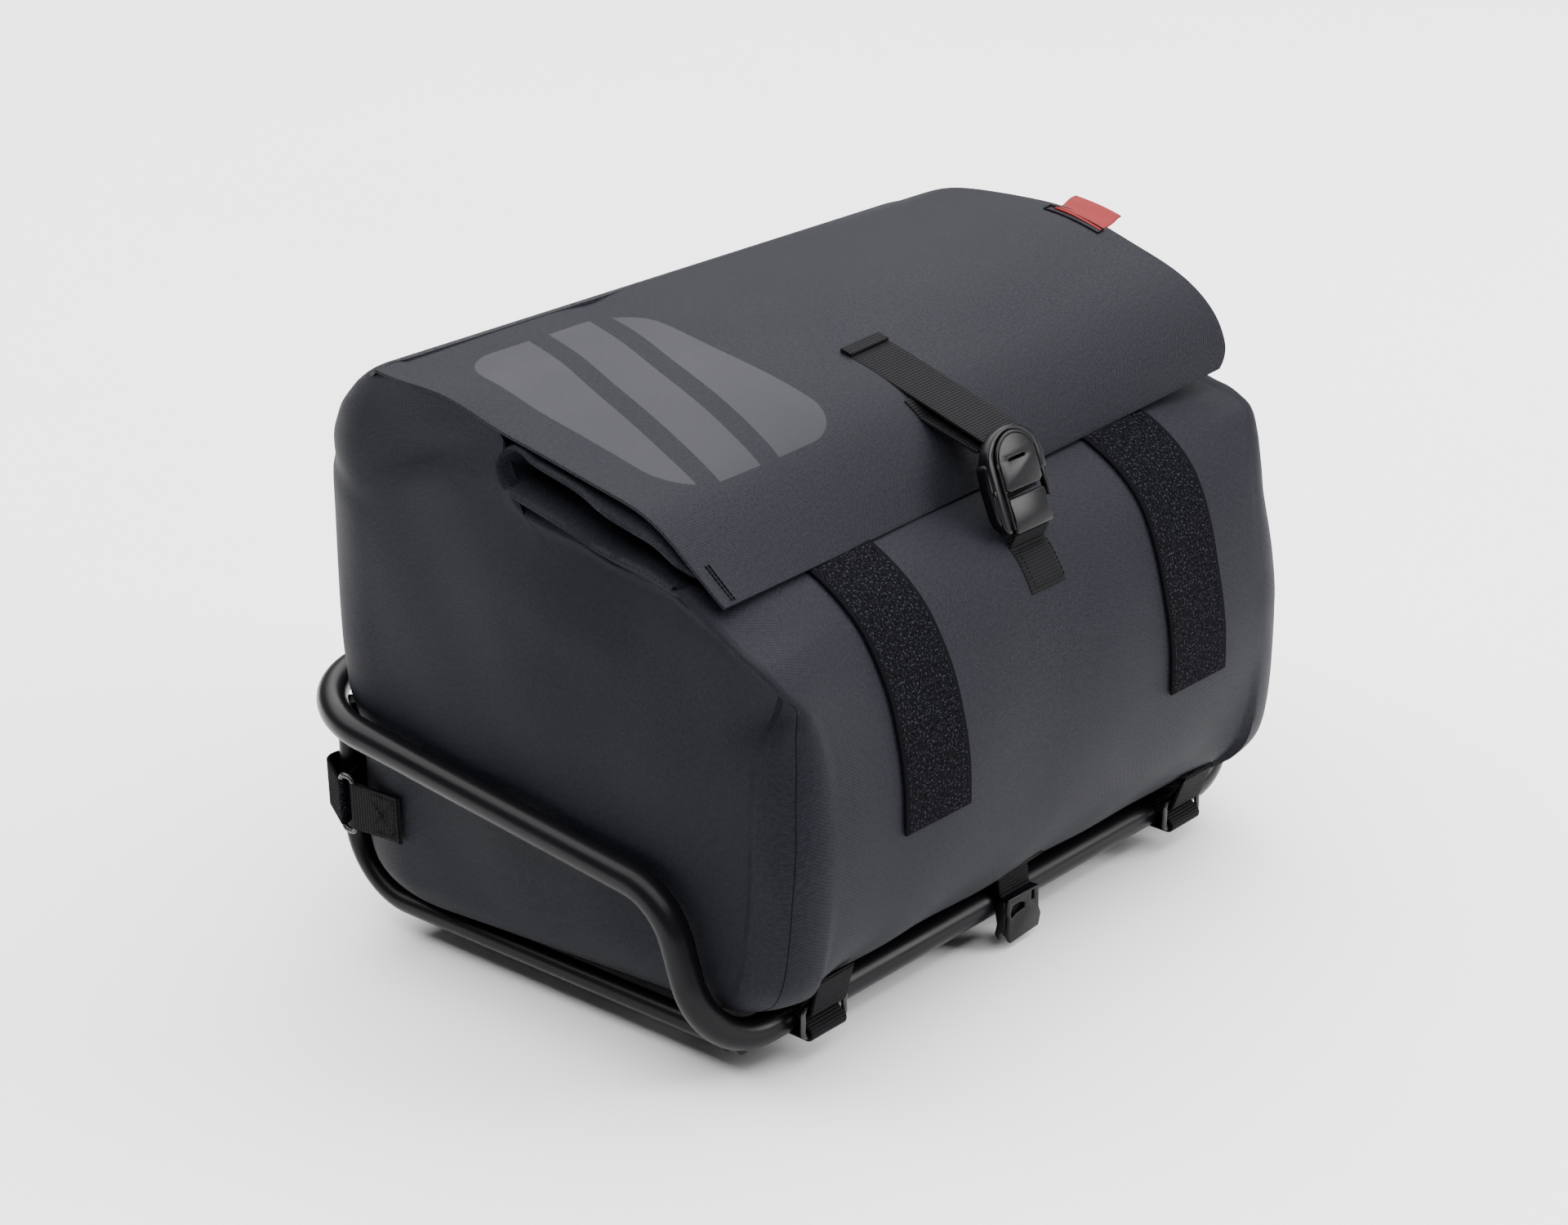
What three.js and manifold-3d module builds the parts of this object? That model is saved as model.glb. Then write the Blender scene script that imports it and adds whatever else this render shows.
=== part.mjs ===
import * as THREE from 'three';
import { mergeVertices } from 'three/addons/utils/BufferGeometryUtils.js';
import Module from 'manifold-3d';

// A fold-over bag strapped into a tray of bent tube.
// Millimetres, +Z up. The front faces -Y and the floor is at z = 0.

const wasm = await Module();
wasm.setup();

// Driving dimensions of the tray

const CLEARANCE = 0.3;
const RIM_TUBE = 16;
const BASE_TUBE = 12;
const SKID_HEIGHT = 16;
const SKID_WIDTH = 20;
const WELD_DEPTH = 1;
const RIM_WIDTH = 426;
const RIM_DEPTH = 288;
const RIM_BEND_RISE = 76;
const RIM_BEND_SETBACK = 24;
const RIM_REAR_RISE = 108;
const RIM_FRONT_RADIUS = 39;
const RIM_BEND_RADIUS = 34;
const RIM_REAR_RADIUS = 60;
const BASE_WIDTH = 376;
const BASE_REAR_RADIUS = 38;
const BASE_POST_INSET = 20;
const BASE_BAR_COUNT = 3;
const BASE_TIE_INSET = 44;
const SKID_LENGTH = 300;
const SKID_SPACING = 150;

// Driving dimensions of the bag

const CLOTH = 2;
const BAG_PUFF = 1.2;
const BAG_OVERHANG = 49.5;
const BAG_HEIGHT = 288;
const BAG_REAR_INSET = 10;
const FOOT_INSET = 26.5;
const FRONT_TUCK_HEIGHT = 102;
const SIDE_TUCK_FRONT = 38;
const SIDE_TUCK_REAR = 20;
const REAR_TUCK = 30;
const POST_CORNER_RADIUS = 66;
const REAR_CORNER_RADIUS = 52;
const RIDGE_CORNER_RADIUS = 20;
const RIDGE_OVERRUN = 0.12;
const FRONT_RIM_GAP = 4;
const GUSSET_LEAN = 16;
const GUSSET_LEAN_HEIGHT = 46;
const FLAP_WIDTH = 400;
const GUSSET_FOLD_REACH = 34;
const RIGHT_FOLD_SHARE = 0.94;

// Driving dimensions of the webbing and the fittings

const STRIP_WIDTH = 48;
const STRIP_SPACING = 211;
const STRIP_FOOT = 93;
const STRIP_TOP = 207;
const STRIP_THICKNESS = 1.8;
const WEBBING = 1.5;
const STRAP_WIDTH = 29;
const STRAP_OFFSET = 3;
const ANCHOR_WIDTH = 27;
const BUCKLE_WIDTH = 42;
const BUCKLE_HEIGHT = 50;
const BUCKLE_THICKNESS = 7;
const BUCKLE_PLATE = 2.4;
const BUCKLE_TILT = THREE.MathUtils.degToRad(20);
const BUCKLE_STAND_OFF = 21.5;
const BUCKLE_LIFT = 10.5;
const RAIL_STRAP_WIDTH = 25;
const RAIL_STRAP_SPACING = 294;
const RING_WIRE = 3;
const RAIL_RING_HEIGHT = 15;
const CLIP_OFFSET = 6;
const CLIP_WIDTH = 27;
const CLIP_HEIGHT = 25;
const CLIP_PLATE = 2.2;
const SIDE_TAB_LENGTH = 32;
const SIDE_TAB_RISE = 77;
const TAG_LENGTH = 31;
const TAG_REACH = 14;
const TAG_THICKNESS = 1.2;
const TAG_BACK = 147;

// Heights and places that follow from them

const BASE_Z = SKID_HEIGHT - WELD_DEPTH + BASE_TUBE / 2;
const RIM_Z = SKID_HEIGHT - WELD_DEPTH + RIM_TUBE / 2;
const BAG_FLOOR = BASE_Z + BASE_TUBE / 2 + CLEARANCE;
const BAG_HALF = RIM_WIDTH / 2 - RIM_TUBE / 2 - 2 * CLEARANCE;
const BAG_REAR = RIM_DEPTH / 2 - BAG_REAR_INSET;
const BAG_FRONT = -RIM_DEPTH / 2 - BAG_OVERHANG;
const BAG_DEPTH = BAG_REAR - BAG_FRONT;
const FRONT_TUCK_RUN = BAG_OVERHANG + FOOT_INSET;

// Section tables. "up" is a share of the bag's height, "inset" and "back" are shares of its depth.

const FRONT_ROWS = [
  { up: 0.391, inset: 0 },
  { up: 0.443, inset: 0.0046 },
  { up: 0.495, inset: 0.0137 },
  { up: 0.5475, inset: 0.026 },
  { up: 0.6, inset: 0.0443 },
  { up: 0.652, inset: 0.0702 },
  { up: 0.6865, inset: 0.0977 },
  { up: 0.714, inset: 0.1313 },
  { up: 0.735, inset: 0.168 },
  { up: 0.7525, inset: 0.2076 },
  { up: 0.8, inset: 0.26 },
  { up: 0.9, inset: 0.3 },
];

const REAR_ROWS = [
  { up: 0.773, inset: 0 },
  { up: 0.843, inset: 0.0183 },
  { up: 0.8947, inset: 0.058 },
  { up: 0.926, inset: 0.0947 },
  { up: 0.957, inset: 0.1344 },
  { up: 0.978, inset: 0.165 },
  { up: 0.997, inset: 0.1954 },
];

// How much higher the front's shoulder sits, from the left side to the right, as a share of the bag's height
const SHOULDER_ROWS = [
  { across: -1, rise: 0.049 },
  { across: -0.45, rise: 0.003 },
  { across: 0, rise: 0 },
  { across: 0.52, rise: 0.043 },
  { across: 1, rise: 0.069 },
];

// Radius of the bag's upright front corners, as a share of its depth
const CORNER_ROWS = [
  { up: 0, radius: 0.073 },
  { up: 0.13, radius: 0.073 },
  { up: 0.26, radius: 0.128 },
  { up: 0.36, radius: 0.153 },
  { up: 0.52, radius: 0.14 },
  { up: 0.62, radius: 0.098 },
  { up: 0.69, radius: 0.061 },
  { up: 0.76, radius: 0.043 },
];

// How far the side walls' top edge lies below the flap, from the ridge to the front
const MOUTH_ROWS = [
  { along: 0, drop: 0.016 },
  { along: 0.22, drop: 0.012 },
  { along: 0.36, drop: 0.02 },
  { along: 0.46, drop: 0.1 },
  { along: 0.58, drop: 0.126 },
  { along: 1, drop: 0.13 },
];

// The flap's line at its left edge, its middle and its right edge, from the ridge to the front edge
const FLAP_ROWS = [
  { leftBack: 0.203, leftUp: 0.995, midBack: 0.203, midUp: 0.997, rightBack: 0.203, rightUp: 0.999 },
  { leftBack: 0.272, leftUp: 0.992, midBack: 0.272, midUp: 1.004, rightBack: 0.272, rightUp: 1.023 },
  { leftBack: 0.354, leftUp: 0.976, midBack: 0.354, midUp: 0.999, rightBack: 0.363, rightUp: 1.035 },
  { leftBack: 0.434, leftUp: 0.954, midBack: 0.434, midUp: 0.985, rightBack: 0.455, rightUp: 1.039 },
  { leftBack: 0.513, leftUp: 0.935, midBack: 0.513, midUp: 0.969, rightBack: 0.547, rightUp: 1.03 },
  { leftBack: 0.592, leftUp: 0.914, midBack: 0.592, midUp: 0.95, rightBack: 0.638, rightUp: 1.0 },
  { leftBack: 0.669, leftUp: 0.893, midBack: 0.672, midUp: 0.919, rightBack: 0.714, rightUp: 0.969 },
  { leftBack: 0.745, leftUp: 0.862, midBack: 0.739, midUp: 0.881, rightBack: 0.776, rightUp: 0.931 },
  { leftBack: 0.812, leftUp: 0.812, midBack: 0.791, midUp: 0.825, rightBack: 0.821, rightUp: 0.877 },
  { leftBack: 0.87, leftUp: 0.76, midBack: 0.819, midUp: 0.745, rightBack: 0.846, rightUp: 0.797 },
];

// The folded gusset that shows below the flap's side edge: how far its plies lie below the flap
const FOLD_ROWS = [
  { along: 0.375, upper: 0.036, lower: 0.083, reach: 0.3 },
  { along: 0.45, upper: 0.009, lower: 0.112, reach: 0.9 },
  { along: 0.56, upper: 0.02, lower: 0.115, reach: 1 },
  { along: 0.67, upper: 0.029, lower: 0.114, reach: 1 },
  { along: 0.78, upper: 0.033, lower: 0.104, reach: 1 },
  { along: 0.87, upper: 0.018, lower: 0.08, reach: 1 },
  { along: 0.91, upper: 0, lower: 0.065, reach: 0.8 },
];

// Smoothness
const TUBE_SIDES = 12;
const ARC_STEP = THREE.MathUtils.degToRad(11);
const CORNER_STEPS = 6;
const FRONT_STEPS = 8;
const SIDE_STEPS = 10;
const REAR_STEPS = 4;
const FLAP_COLUMNS = 14;
const FLAP_STEPS = 22;
const FOLD_STEPS = 14;

// Small helpers

const vec = (x, y, z) => new THREE.Vector3(x, y, z);

const mix = (a, b, t) => a + (b - a) * t;

const ease = (from, to, value) => THREE.MathUtils.smoothstep(value, from, to);

const upShare = (z) => (z - BAG_FLOOR) / BAG_HEIGHT;

/** Reads a column of a table between its rows. */
function lookUp(rows, key, at, column) {
  if (at <= rows[0][key]) {
    return rows[0][column];
  }
  const next = rows.findIndex((row) => row[key] >= at);
  if (next < 0) {
    return rows[rows.length - 1][column];
  }
  const low = rows[next - 1];
  const high = rows[next];
  return mix(low[column], high[column], (at - low[key]) / (high[key] - low[key]));
}

/** Makes a closed solid of points and triangles, with its faces pointing out. */
function solidOf(points, faces) {
  let volume = 0;
  for (let k = 0; k < faces.length; k += 3) {
    const [a, b, c] = [points[faces[k]], points[faces[k + 1]], points[faces[k + 2]]];
    volume += a.dot(b.clone().cross(c));
  }
  if (volume < 0) {
    faces.reverse();
  }
  const geometry = new THREE.BufferGeometry();
  geometry.setAttribute('position', new THREE.Float32BufferAttribute(points.flatMap((p) => p.toArray()), 3));
  geometry.setIndex(faces);
  geometry.computeVertexNormals();
  return geometry;
}

/** Skins rings of points. Open ends take a fan, or a strip where a ring is a folded pair of lines. */
function loft(rings, ends = 'fan') {
  const count = rings[0].length;
  const points = rings.flat();
  const faces = [];
  const spans = ends === 'loop' ? rings.length : rings.length - 1;
  for (let r = 0; r < spans; r += 1) {
    const here = r * count;
    const there = ((r + 1) % rings.length) * count;
    for (let i = 0; i < count; i += 1) {
      const j = (i + 1) % count;
      faces.push(here + i, here + j, there + j, here + i, there + j, there + i);
    }
  }
  if (ends === 'strip') {
    const last = (rings.length - 1) * count;
    for (let i = 0; i < count / 2 - 1; i += 1) {
      const mate = count - 1 - i;
      faces.push(i, mate, mate - 1, i, mate - 1, i + 1);
      faces.push(last + i, last + mate - 1, last + mate, last + i, last + i + 1, last + mate - 1);
    }
  }
  if (ends === 'fan') {
    [0, rings.length - 1].forEach((r, side) => {
      const middle = rings[r].reduce((sum, p) => sum.add(p), vec(0, 0, 0)).divideScalar(count);
      points.push(middle);
      for (let i = 0; i < count; i += 1) {
        const pair = [r * count + i, r * count + ((i + 1) % count)];
        faces.push(points.length - 1, pair[1 - side], pair[side]);
      }
    });
  }
  return solidOf(points, faces);
}

/** A run of points with its corners rounded to arcs. */
function roundedPath(corners, radii, closed = false) {
  const path = closed ? [] : [corners[0]];
  const count = corners.length;
  const first = closed ? 0 : 1;
  const last = closed ? count : count - 1;
  for (let i = first; i < last; i += 1) {
    const corner = corners[i];
    const back = corners[(i + count - 1) % count].clone().sub(corner).normalize();
    const ahead = corners[(i + 1) % count].clone().sub(corner).normalize();
    const angle = back.angleTo(ahead);
    const radius = radii[i - first];
    const middle = back.clone().add(ahead).normalize();
    const centre = middle.multiplyScalar(radius / Math.sin(angle / 2)).add(corner);
    const start = back.multiplyScalar(radius / Math.tan(angle / 2)).add(corner).sub(centre);
    const end = ahead.multiplyScalar(radius / Math.tan(angle / 2)).add(corner).sub(centre);
    const turn = Math.PI - angle;
    const steps = Math.max(2, Math.ceil(turn / ARC_STEP));
    for (let k = 0; k <= steps; k += 1) {
      const at = (turn * k) / steps;
      const p = start.clone().multiplyScalar(Math.sin(turn - at) / Math.sin(turn));
      path.push(p.addScaledVector(end, Math.sin(at) / Math.sin(turn)).add(centre));
    }
  }
  return closed ? path : [...path, corners[count - 1]];
}

/** A solid round bar or wire that follows a run of points, with flat ends or closed into a loop. */
function barAlong(path, diameter, closed = false, sides = TUBE_SIDES) {
  const count = path.length;
  const tangents = path.map((p, i) => {
    const before = path[closed ? (i + count - 1) % count : Math.max(i - 1, 0)];
    const after = path[closed ? (i + 1) % count : Math.min(i + 1, count - 1)];
    const inward = p.clone().sub(before).normalize();
    return after.clone().sub(p).normalize().add(inward).normalize();
  });
  let across = vec(0, 0, 1).cross(tangents[0]);
  across = across.length() < 0.1 ? vec(1, 0, 0) : across.normalize();
  const rings = path.map((p, i) => {
    across = across.clone().addScaledVector(tangents[i], -across.dot(tangents[i])).normalize();
    const other = tangents[i].clone().cross(across);
    return Array.from({ length: sides }, (unused, k) => {
      const angle = (2 * Math.PI * (k + 0.5)) / sides;
      const spoke = across.clone().multiplyScalar(Math.cos(angle)).addScaledVector(other, Math.sin(angle));
      return p.clone().addScaledVector(spoke, diameter / 2);
    });
  });
  return loft(rings, closed ? 'loop' : 'fan');
}

/** Hands a closed geometry to the boolean library. */
function toManifold(geometry) {
  const bare = geometry.clone();
  bare.deleteAttribute('normal');
  bare.deleteAttribute('uv');
  const merged = mergeVertices(bare, 1e-4);
  return new wasm.Manifold(new wasm.Mesh({
    numProp: 3,
    vertProperties: new Float32Array(merged.attributes.position.array),
    triVerts: new Uint32Array(merged.index.array),
  }));
}

/** Joins solids and takes others away from the result. */
function weld(parts, cuts = []) {
  let body = toManifold(parts[0]);
  parts.slice(1).forEach((part) => {
    body = body.add(toManifold(part));
  });
  cuts.forEach((cut) => {
    body = body.subtract(toManifold(cut));
  });
  const mesh = body.getMesh();
  const geometry = new THREE.BufferGeometry();
  geometry.setAttribute('position', new THREE.Float32BufferAttribute(mesh.vertProperties, 3));
  geometry.setIndex(Array.from(mesh.triVerts));
  geometry.computeVertexNormals();
  return geometry;
}

/** Mirrors a geometry in the plane x = 0. */
function mirrored(geometry) {
  const points = [];
  const position = geometry.attributes.position;
  for (let i = 0; i < position.count; i += 1) {
    points.push(vec(-position.getX(i), position.getY(i), position.getZ(i)));
  }
  return solidOf(points, Array.from(geometry.index.array));
}

// Finishes

const paint = (color, roughness, metalness = 0) => (
  new THREE.MeshStandardMaterial({ color, roughness, metalness }));
const powderCoat = paint(0x25252a, 0.42, 0.2);
const cloth = paint(0x2f3036, 0.78);
const fuzzyLoop = paint(0x17171c, 0.95);
const webbing = paint(0x1b1b1f, 0.8);
const plastic = paint(0x232328, 0.4);
const steel = paint(0x2a2a2e, 0.35, 0.8);
const labelCloth = paint(0xd2343a, 0.7);

// Tray

/** Centre line of the rim: low across the front, rising at the front corners to a high rear. */
function rimPath() {
  const halfX = RIM_WIDTH / 2;
  const halfY = RIM_DEPTH / 2;
  const rear = RIM_Z + RIM_REAR_RISE;
  const bend = RIM_Z + RIM_BEND_RISE;
  const bendY = RIM_BEND_SETBACK - halfY;
  const left = [vec(-halfX, halfY, rear), vec(-halfX, bendY, bend), vec(-halfX, -halfY, RIM_Z)];
  const right = left.map((p) => vec(-p.x, p.y, p.z)).reverse();
  const radii = [RIM_REAR_RADIUS, RIM_BEND_RADIUS, RIM_FRONT_RADIUS];
  return roundedPath([...left, ...right], [...radii, ...radii.slice().reverse()], true);
}

const rimHoop = barAlong(rimPath(), RIM_TUBE, true);
const rimCutter = barAlong(rimPath(), RIM_TUBE + 2 * CLEARANCE, true);

/** The base: two side tubes that turn up at the rear, bars between them and two flat skids below. */
function baseFrame() {
  const halfY = RIM_DEPTH / 2;
  const postY = halfY - BASE_POST_INSET;
  const tieY = halfY - BASE_TIE_INSET;
  const sideX = BASE_WIDTH / 2;
  const corners = [
    vec(-sideX, postY, RIM_Z + RIM_REAR_RISE),
    vec(-sideX, postY, BASE_Z),
    vec(-sideX, -halfY, BASE_Z),
  ];
  const side = barAlong(roundedPath(corners, [BASE_REAR_RADIUS]), BASE_TUBE);
  const tie = barAlong([vec(-sideX, tieY, BASE_Z), vec(sideX, tieY, BASE_Z)], BASE_TUBE);
  const bars = Array.from({ length: BASE_BAR_COUNT }, (unused, k) => {
    const x = ((k + 1) / (BASE_BAR_COUNT + 1) - 0.5) * BASE_WIDTH;
    return barAlong([vec(x, -halfY, BASE_Z), vec(x, tieY, BASE_Z)], BASE_TUBE);
  });
  const skids = [-1, 1].map((end) => {
    const skid = new THREE.BoxGeometry(SKID_LENGTH, SKID_WIDTH, SKID_HEIGHT);
    return skid.translate(0, (end * SKID_SPACING) / 2, SKID_HEIGHT / 2);
  });
  return weld([side, mirrored(side), tie, ...bars, ...skids], [rimCutter]);
}

// Bag

/** How far a rounded lower edge is tucked in at height z, for the outer skin or a wall inside it. */
function tuck(z, run, height, wall) {
  const fall = BAG_FLOOR + height - z;
  if (fall <= 0) {
    return 0;
  }
  const share = Math.min(1, fall / (height - wall));
  return (run - wall) * (1 - Math.sqrt(1 - share * share));
}

/** The bag's plan section at height z, moved in by a wall. Its front depends on the place across. */
function section(z, wall, across = 0) {
  const up = upShare(z);
  const shoulder = up - lookUp(SHOULDER_ROWS, 'across', across, 'rise') * ease(0.45, 0.7, up);
  const half = BAG_HALF + BAG_PUFF * ease(0.38, 0.48, up) - wall;
  const ridge = ease(0.77, 1, up);
  const overPost = mix(POST_CORNER_RADIUS, REAR_CORNER_RADIUS, ease(0.34, 0.42, up));
  return {
    halfFront: half - tuck(z, SIDE_TUCK_FRONT, SIDE_TUCK_FRONT, wall),
    halfRear: half - tuck(z, SIDE_TUCK_REAR, SIDE_TUCK_REAR, wall),
    front: BAG_FRONT + wall + tuck(z, FRONT_TUCK_RUN, FRONT_TUCK_HEIGHT, wall)
      + BAG_DEPTH * lookUp(FRONT_ROWS, 'up', shoulder, 'inset'),
    rear: BAG_REAR - wall - tuck(z, REAR_TUCK, REAR_TUCK, wall)
      - BAG_DEPTH * lookUp(REAR_ROWS, 'up', up, 'inset'),
    frontRadius: BAG_DEPTH * lookUp(CORNER_ROWS, 'up', up, 'radius') - wall,
    rearRadius: mix(overPost, RIDGE_CORNER_RADIUS, ridge) - wall,
  };
}

/** Stations round the section, from the left front corner and back to it by the right side. */
function stations() {
  const corners = [
    { x: -1, y: -1, start: 180 },
    { x: 1, y: -1, start: 270 },
    { x: 1, y: 1, start: 0 },
    { x: -1, y: 1, start: 90 },
  ];
  const between = [FRONT_STEPS, SIDE_STEPS, REAR_STEPS, SIDE_STEPS];
  return corners.flatMap((corner, k) => {
    const next = corners[(k + 1) % corners.length];
    const arc = Array.from({ length: CORNER_STEPS + 1 }, (unused, i) => (
      { corner, angle: corner.start + (90 * i) / CORNER_STEPS, turn: i / CORNER_STEPS }));
    const run = Array.from({ length: between[k] - 1 }, (unused, i) => (
      { corner, next, share: (i + 1) / between[k] }));
    return [...arc, ...run];
  });
}

/** Where a corner station lies on a section. */
function cornerPoint(cut, corner, angle, z) {
  const radius = corner.y < 0 ? cut.frontRadius : cut.rearRadius;
  const half = corner.y < 0 ? cut.halfFront : cut.halfRear;
  const y = corner.y < 0 ? cut.front + radius : cut.rear - radius;
  const turn = THREE.MathUtils.degToRad(angle);
  return vec(corner.x * (half - radius) + radius * Math.cos(turn), y + radius * Math.sin(turn), z);
}

/** Where a station lies at height z. */
function stationPoint(station, z, wall) {
  const { corner, next, angle, share } = station;
  const cut = section(z, wall, corner.x);
  if (share === undefined) {
    return cornerPoint(cut, corner, angle, z);
  }
  const from = cornerPoint(cut, corner, corner.start + 90, z);
  const point = from.lerp(cornerPoint(section(z, wall, next.x), next, next.start, z), share);
  if (corner.y < 0 && next.y < 0) {
    point.y = section(z, wall, point.x / BAG_HALF).front;
  }
  return point;
}

const flapLine = (back, up, x) => new THREE.CatmullRomCurve3(FLAP_ROWS.map((row) => (
  vec(x, BAG_REAR - row[back] * BAG_DEPTH, BAG_FLOOR + row[up] * BAG_HEIGHT))));
const flapLeft = flapLine('leftBack', 'leftUp', -FLAP_WIDTH / 2);
const flapMiddle = flapLine('midBack', 'midUp', 0);
const flapRight = flapLine('rightBack', 'rightUp', FLAP_WIDTH / 2);

/** A point of the flap's upper face: across from -1 to 1, along from the ridge to the front edge. */
function flapPoint(across, along) {
  const point = flapLeft.getPoint(along).multiplyScalar((across * (across - 1)) / 2);
  point.addScaledVector(flapMiddle.getPoint(along), 1 - across * across);
  return point.addScaledVector(flapRight.getPoint(along), (across * (across + 1)) / 2);
}

/** The way out of the flap's upper face. */
function flapNormal(across, along) {
  const step = 0.01;
  const acrossway = flapPoint(across + step, along).sub(flapPoint(across - step, along));
  const low = Math.max(0, along - step);
  const high = Math.min(1, along + step);
  const alongway = flapPoint(across, low).sub(flapPoint(across, high));
  return acrossway.cross(alongway).normalize();
}

/** Height of the flap's side edge over a place along the bag. */
function flapEdgeHeight(side, y) {
  const columns = side < 0 ? ['leftBack', 'leftUp'] : ['rightBack', 'rightUp'];
  return BAG_FLOOR + BAG_HEIGHT * lookUp(FLAP_ROWS, columns[0], (BAG_REAR - y) / BAG_DEPTH, columns[1]);
}

/** Height of the mouth's edge at a station: the ridge at the rear, low in front, below the flap between. */
function mouthHeight(station) {
  const front = (across) => flapPoint(across, 1).z - CLOTH - FRONT_RIM_GAP;
  const rear = BAG_FLOOR + BAG_HEIGHT * REAR_ROWS[REAR_ROWS.length - 1].up;
  const sideMouth = (side, along) => {
    const y = mix(BAG_REAR - BAG_DEPTH * 0.256, BAG_REAR - BAG_DEPTH * 0.7, along);
    return flapEdgeHeight(side, y) - BAG_HEIGHT * lookUp(MOUTH_ROWS, 'along', along, 'drop');
  };
  const { corner, next, share, turn } = station;
  if (share === undefined) {
    if (corner.y > 0) {
      const nearRidge = corner.x > 0 ? turn : 1 - turn;
      return mix(sideMouth(corner.x, -RIDGE_OVERRUN * nearRidge), rear, nearRidge ** 6);
    }
    return mix(sideMouth(corner.x, 1), front(corner.x * 0.9), ease(0, 1, corner.x > 0 ? 1 - turn : turn));
  }
  if (corner.y < 0 && next.y < 0) {
    return front(mix(-0.9, 0.9, share));
  }
  if (corner.y > 0 && next.y > 0) {
    return rear;
  }
  return sideMouth(corner.x, corner.y > 0 ? share : 1 - share);
}

/** A ring of the bag's skin. Up to "level" 1 it is flat, and from there to 2 it climbs to the mouth. */
function bagRing(level, wall) {
  const floor = BAG_FLOOR + wall;
  const shoulder = BAG_FLOOR + FRONT_TUCK_HEIGHT;
  return stations().map((station) => {
    if (level <= 1) {
      return stationPoint(station, mix(floor, shoulder, level), wall);
    }
    const mouth = mouthHeight(station);
    const z = mix(shoulder, mouth, level - 1);
    const point = stationPoint(station, z, wall);
    const lean = GUSSET_LEAN * ease(mouth - GUSSET_LEAN_HEIGHT, mouth, z);
    const forward = ease(BAG_REAR - BAG_DEPTH * 0.3, BAG_REAR - BAG_DEPTH * 0.45, point.y);
    const sideways = Math.abs(point.x) / BAG_HALF;
    point.x -= Math.sign(point.x) * lean * forward * sideways ** 6;
    return point;
  });
}

/** The bag's body: one wall all round, open at the mouth below the flap. */
function bagShell() {
  const outer = [0, 0.015, 0.06, 0.14, 0.25, 0.4, 0.6, 0.8, 1, 1.2, 1.4, 1.55, 1.68, 1.78, 1.87, 1.94, 2];
  const inner = [2, 1.92, 1.82, 1.65, 1.4, 1, 0.6, 0.3, 0.1, 0.03, 0];
  return loft([...outer.map((level) => bagRing(level, 0)), ...inner.map((level) => bagRing(level, CLOTH))]);
}

/** A sheet that keeps to the flap's face: from its underside up to its upper face, over a stretch of it. */
function sheetOnFlap(acrossFrom, acrossTo, alongFrom, alongTo, columns, steps, under, over) {
  const rings = [];
  for (let r = 0; r <= steps; r += 1) {
    const along = mix(alongFrom, alongTo, r / steps);
    const line = (height) => Array.from({ length: columns + 1 }, (unused, c) => {
      const across = mix(acrossFrom, acrossTo, c / columns);
      return flapPoint(across, along).addScaledVector(flapNormal(across, along), height);
    });
    rings.push([...line(over), ...line(under).reverse()]);
  }
  return loft(rings, 'strip');
}

/** The gusset's cloth folded in below the flap's edge: two plies that meet in a crease inside the bag. */
function gussetFold(side) {
  const outX = side * (FLAP_WIDTH / 2 - CLOTH);
  const across = (2 * outX) / FLAP_WIDTH;
  const share = side < 0 ? 1 : RIGHT_FOLD_SHARE;
  const rings = [];
  for (let k = 0; k <= FOLD_STEPS; k += 1) {
    const along = mix(FOLD_ROWS[0].along, FOLD_ROWS[FOLD_ROWS.length - 1].along, k / FOLD_STEPS);
    const row = (column) => lookUp(FOLD_ROWS, 'along', along, column);
    const above = flapPoint(across, along * share);
    const under = above.z - CLOTH / flapNormal(across, along * share).z - CLEARANCE;
    const upper = under - CLOTH - row('upper') * BAG_HEIGHT;
    const lower = above.z - row('lower') * BAG_HEIGHT;
    const crease = (upper + lower + CLOTH) / 2;
    const inX = outX - side * GUSSET_FOLD_REACH * row('reach');
    const lips = [[outX, upper], [inX, crease], [outX, lower + CLOTH]];
    const back = [[outX, lower], [inX - side * 2 * CLOTH, crease], [outX, upper + CLOTH]];
    rings.push([...lips, ...back].map(([x, z]) => vec(x, above.y, z)));
  }
  return loft(rings, 'strip');
}

/** A strip that lies on the bag's front, between two heights over the bag's floor. */
function frontPanel(x, width, foot, top, under, thickness, steps) {
  const across = x / BAG_HALF;
  const rise = BAG_HEIGHT * lookUp(SHOULDER_ROWS, 'across', across, 'rise');
  const frontAt = (sideX, z) => section(z, 0, (x + sideX) / BAG_HALF).front;
  const rings = [];
  for (let k = 0; k <= steps; k += 1) {
    const z = BAG_FLOOR + mix(foot, top + rise, k / steps);
    const step = 1;
    const slope = (frontAt(0, z + step) - frontAt(0, z - step)) / (2 * step);
    const out = vec(0, -1, slope).normalize();
    const place = (sideX, height) => vec(x + sideX, frontAt(sideX, z), z).addScaledVector(out, height);
    const half = width / 2;
    const over = under + thickness;
    const row = (height) => [place(-half, height), place(0, height), place(half, height)];
    rings.push([...row(under), ...row(over).reverse()]);
  }
  return loft(rings);
}

// Webbing

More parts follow.
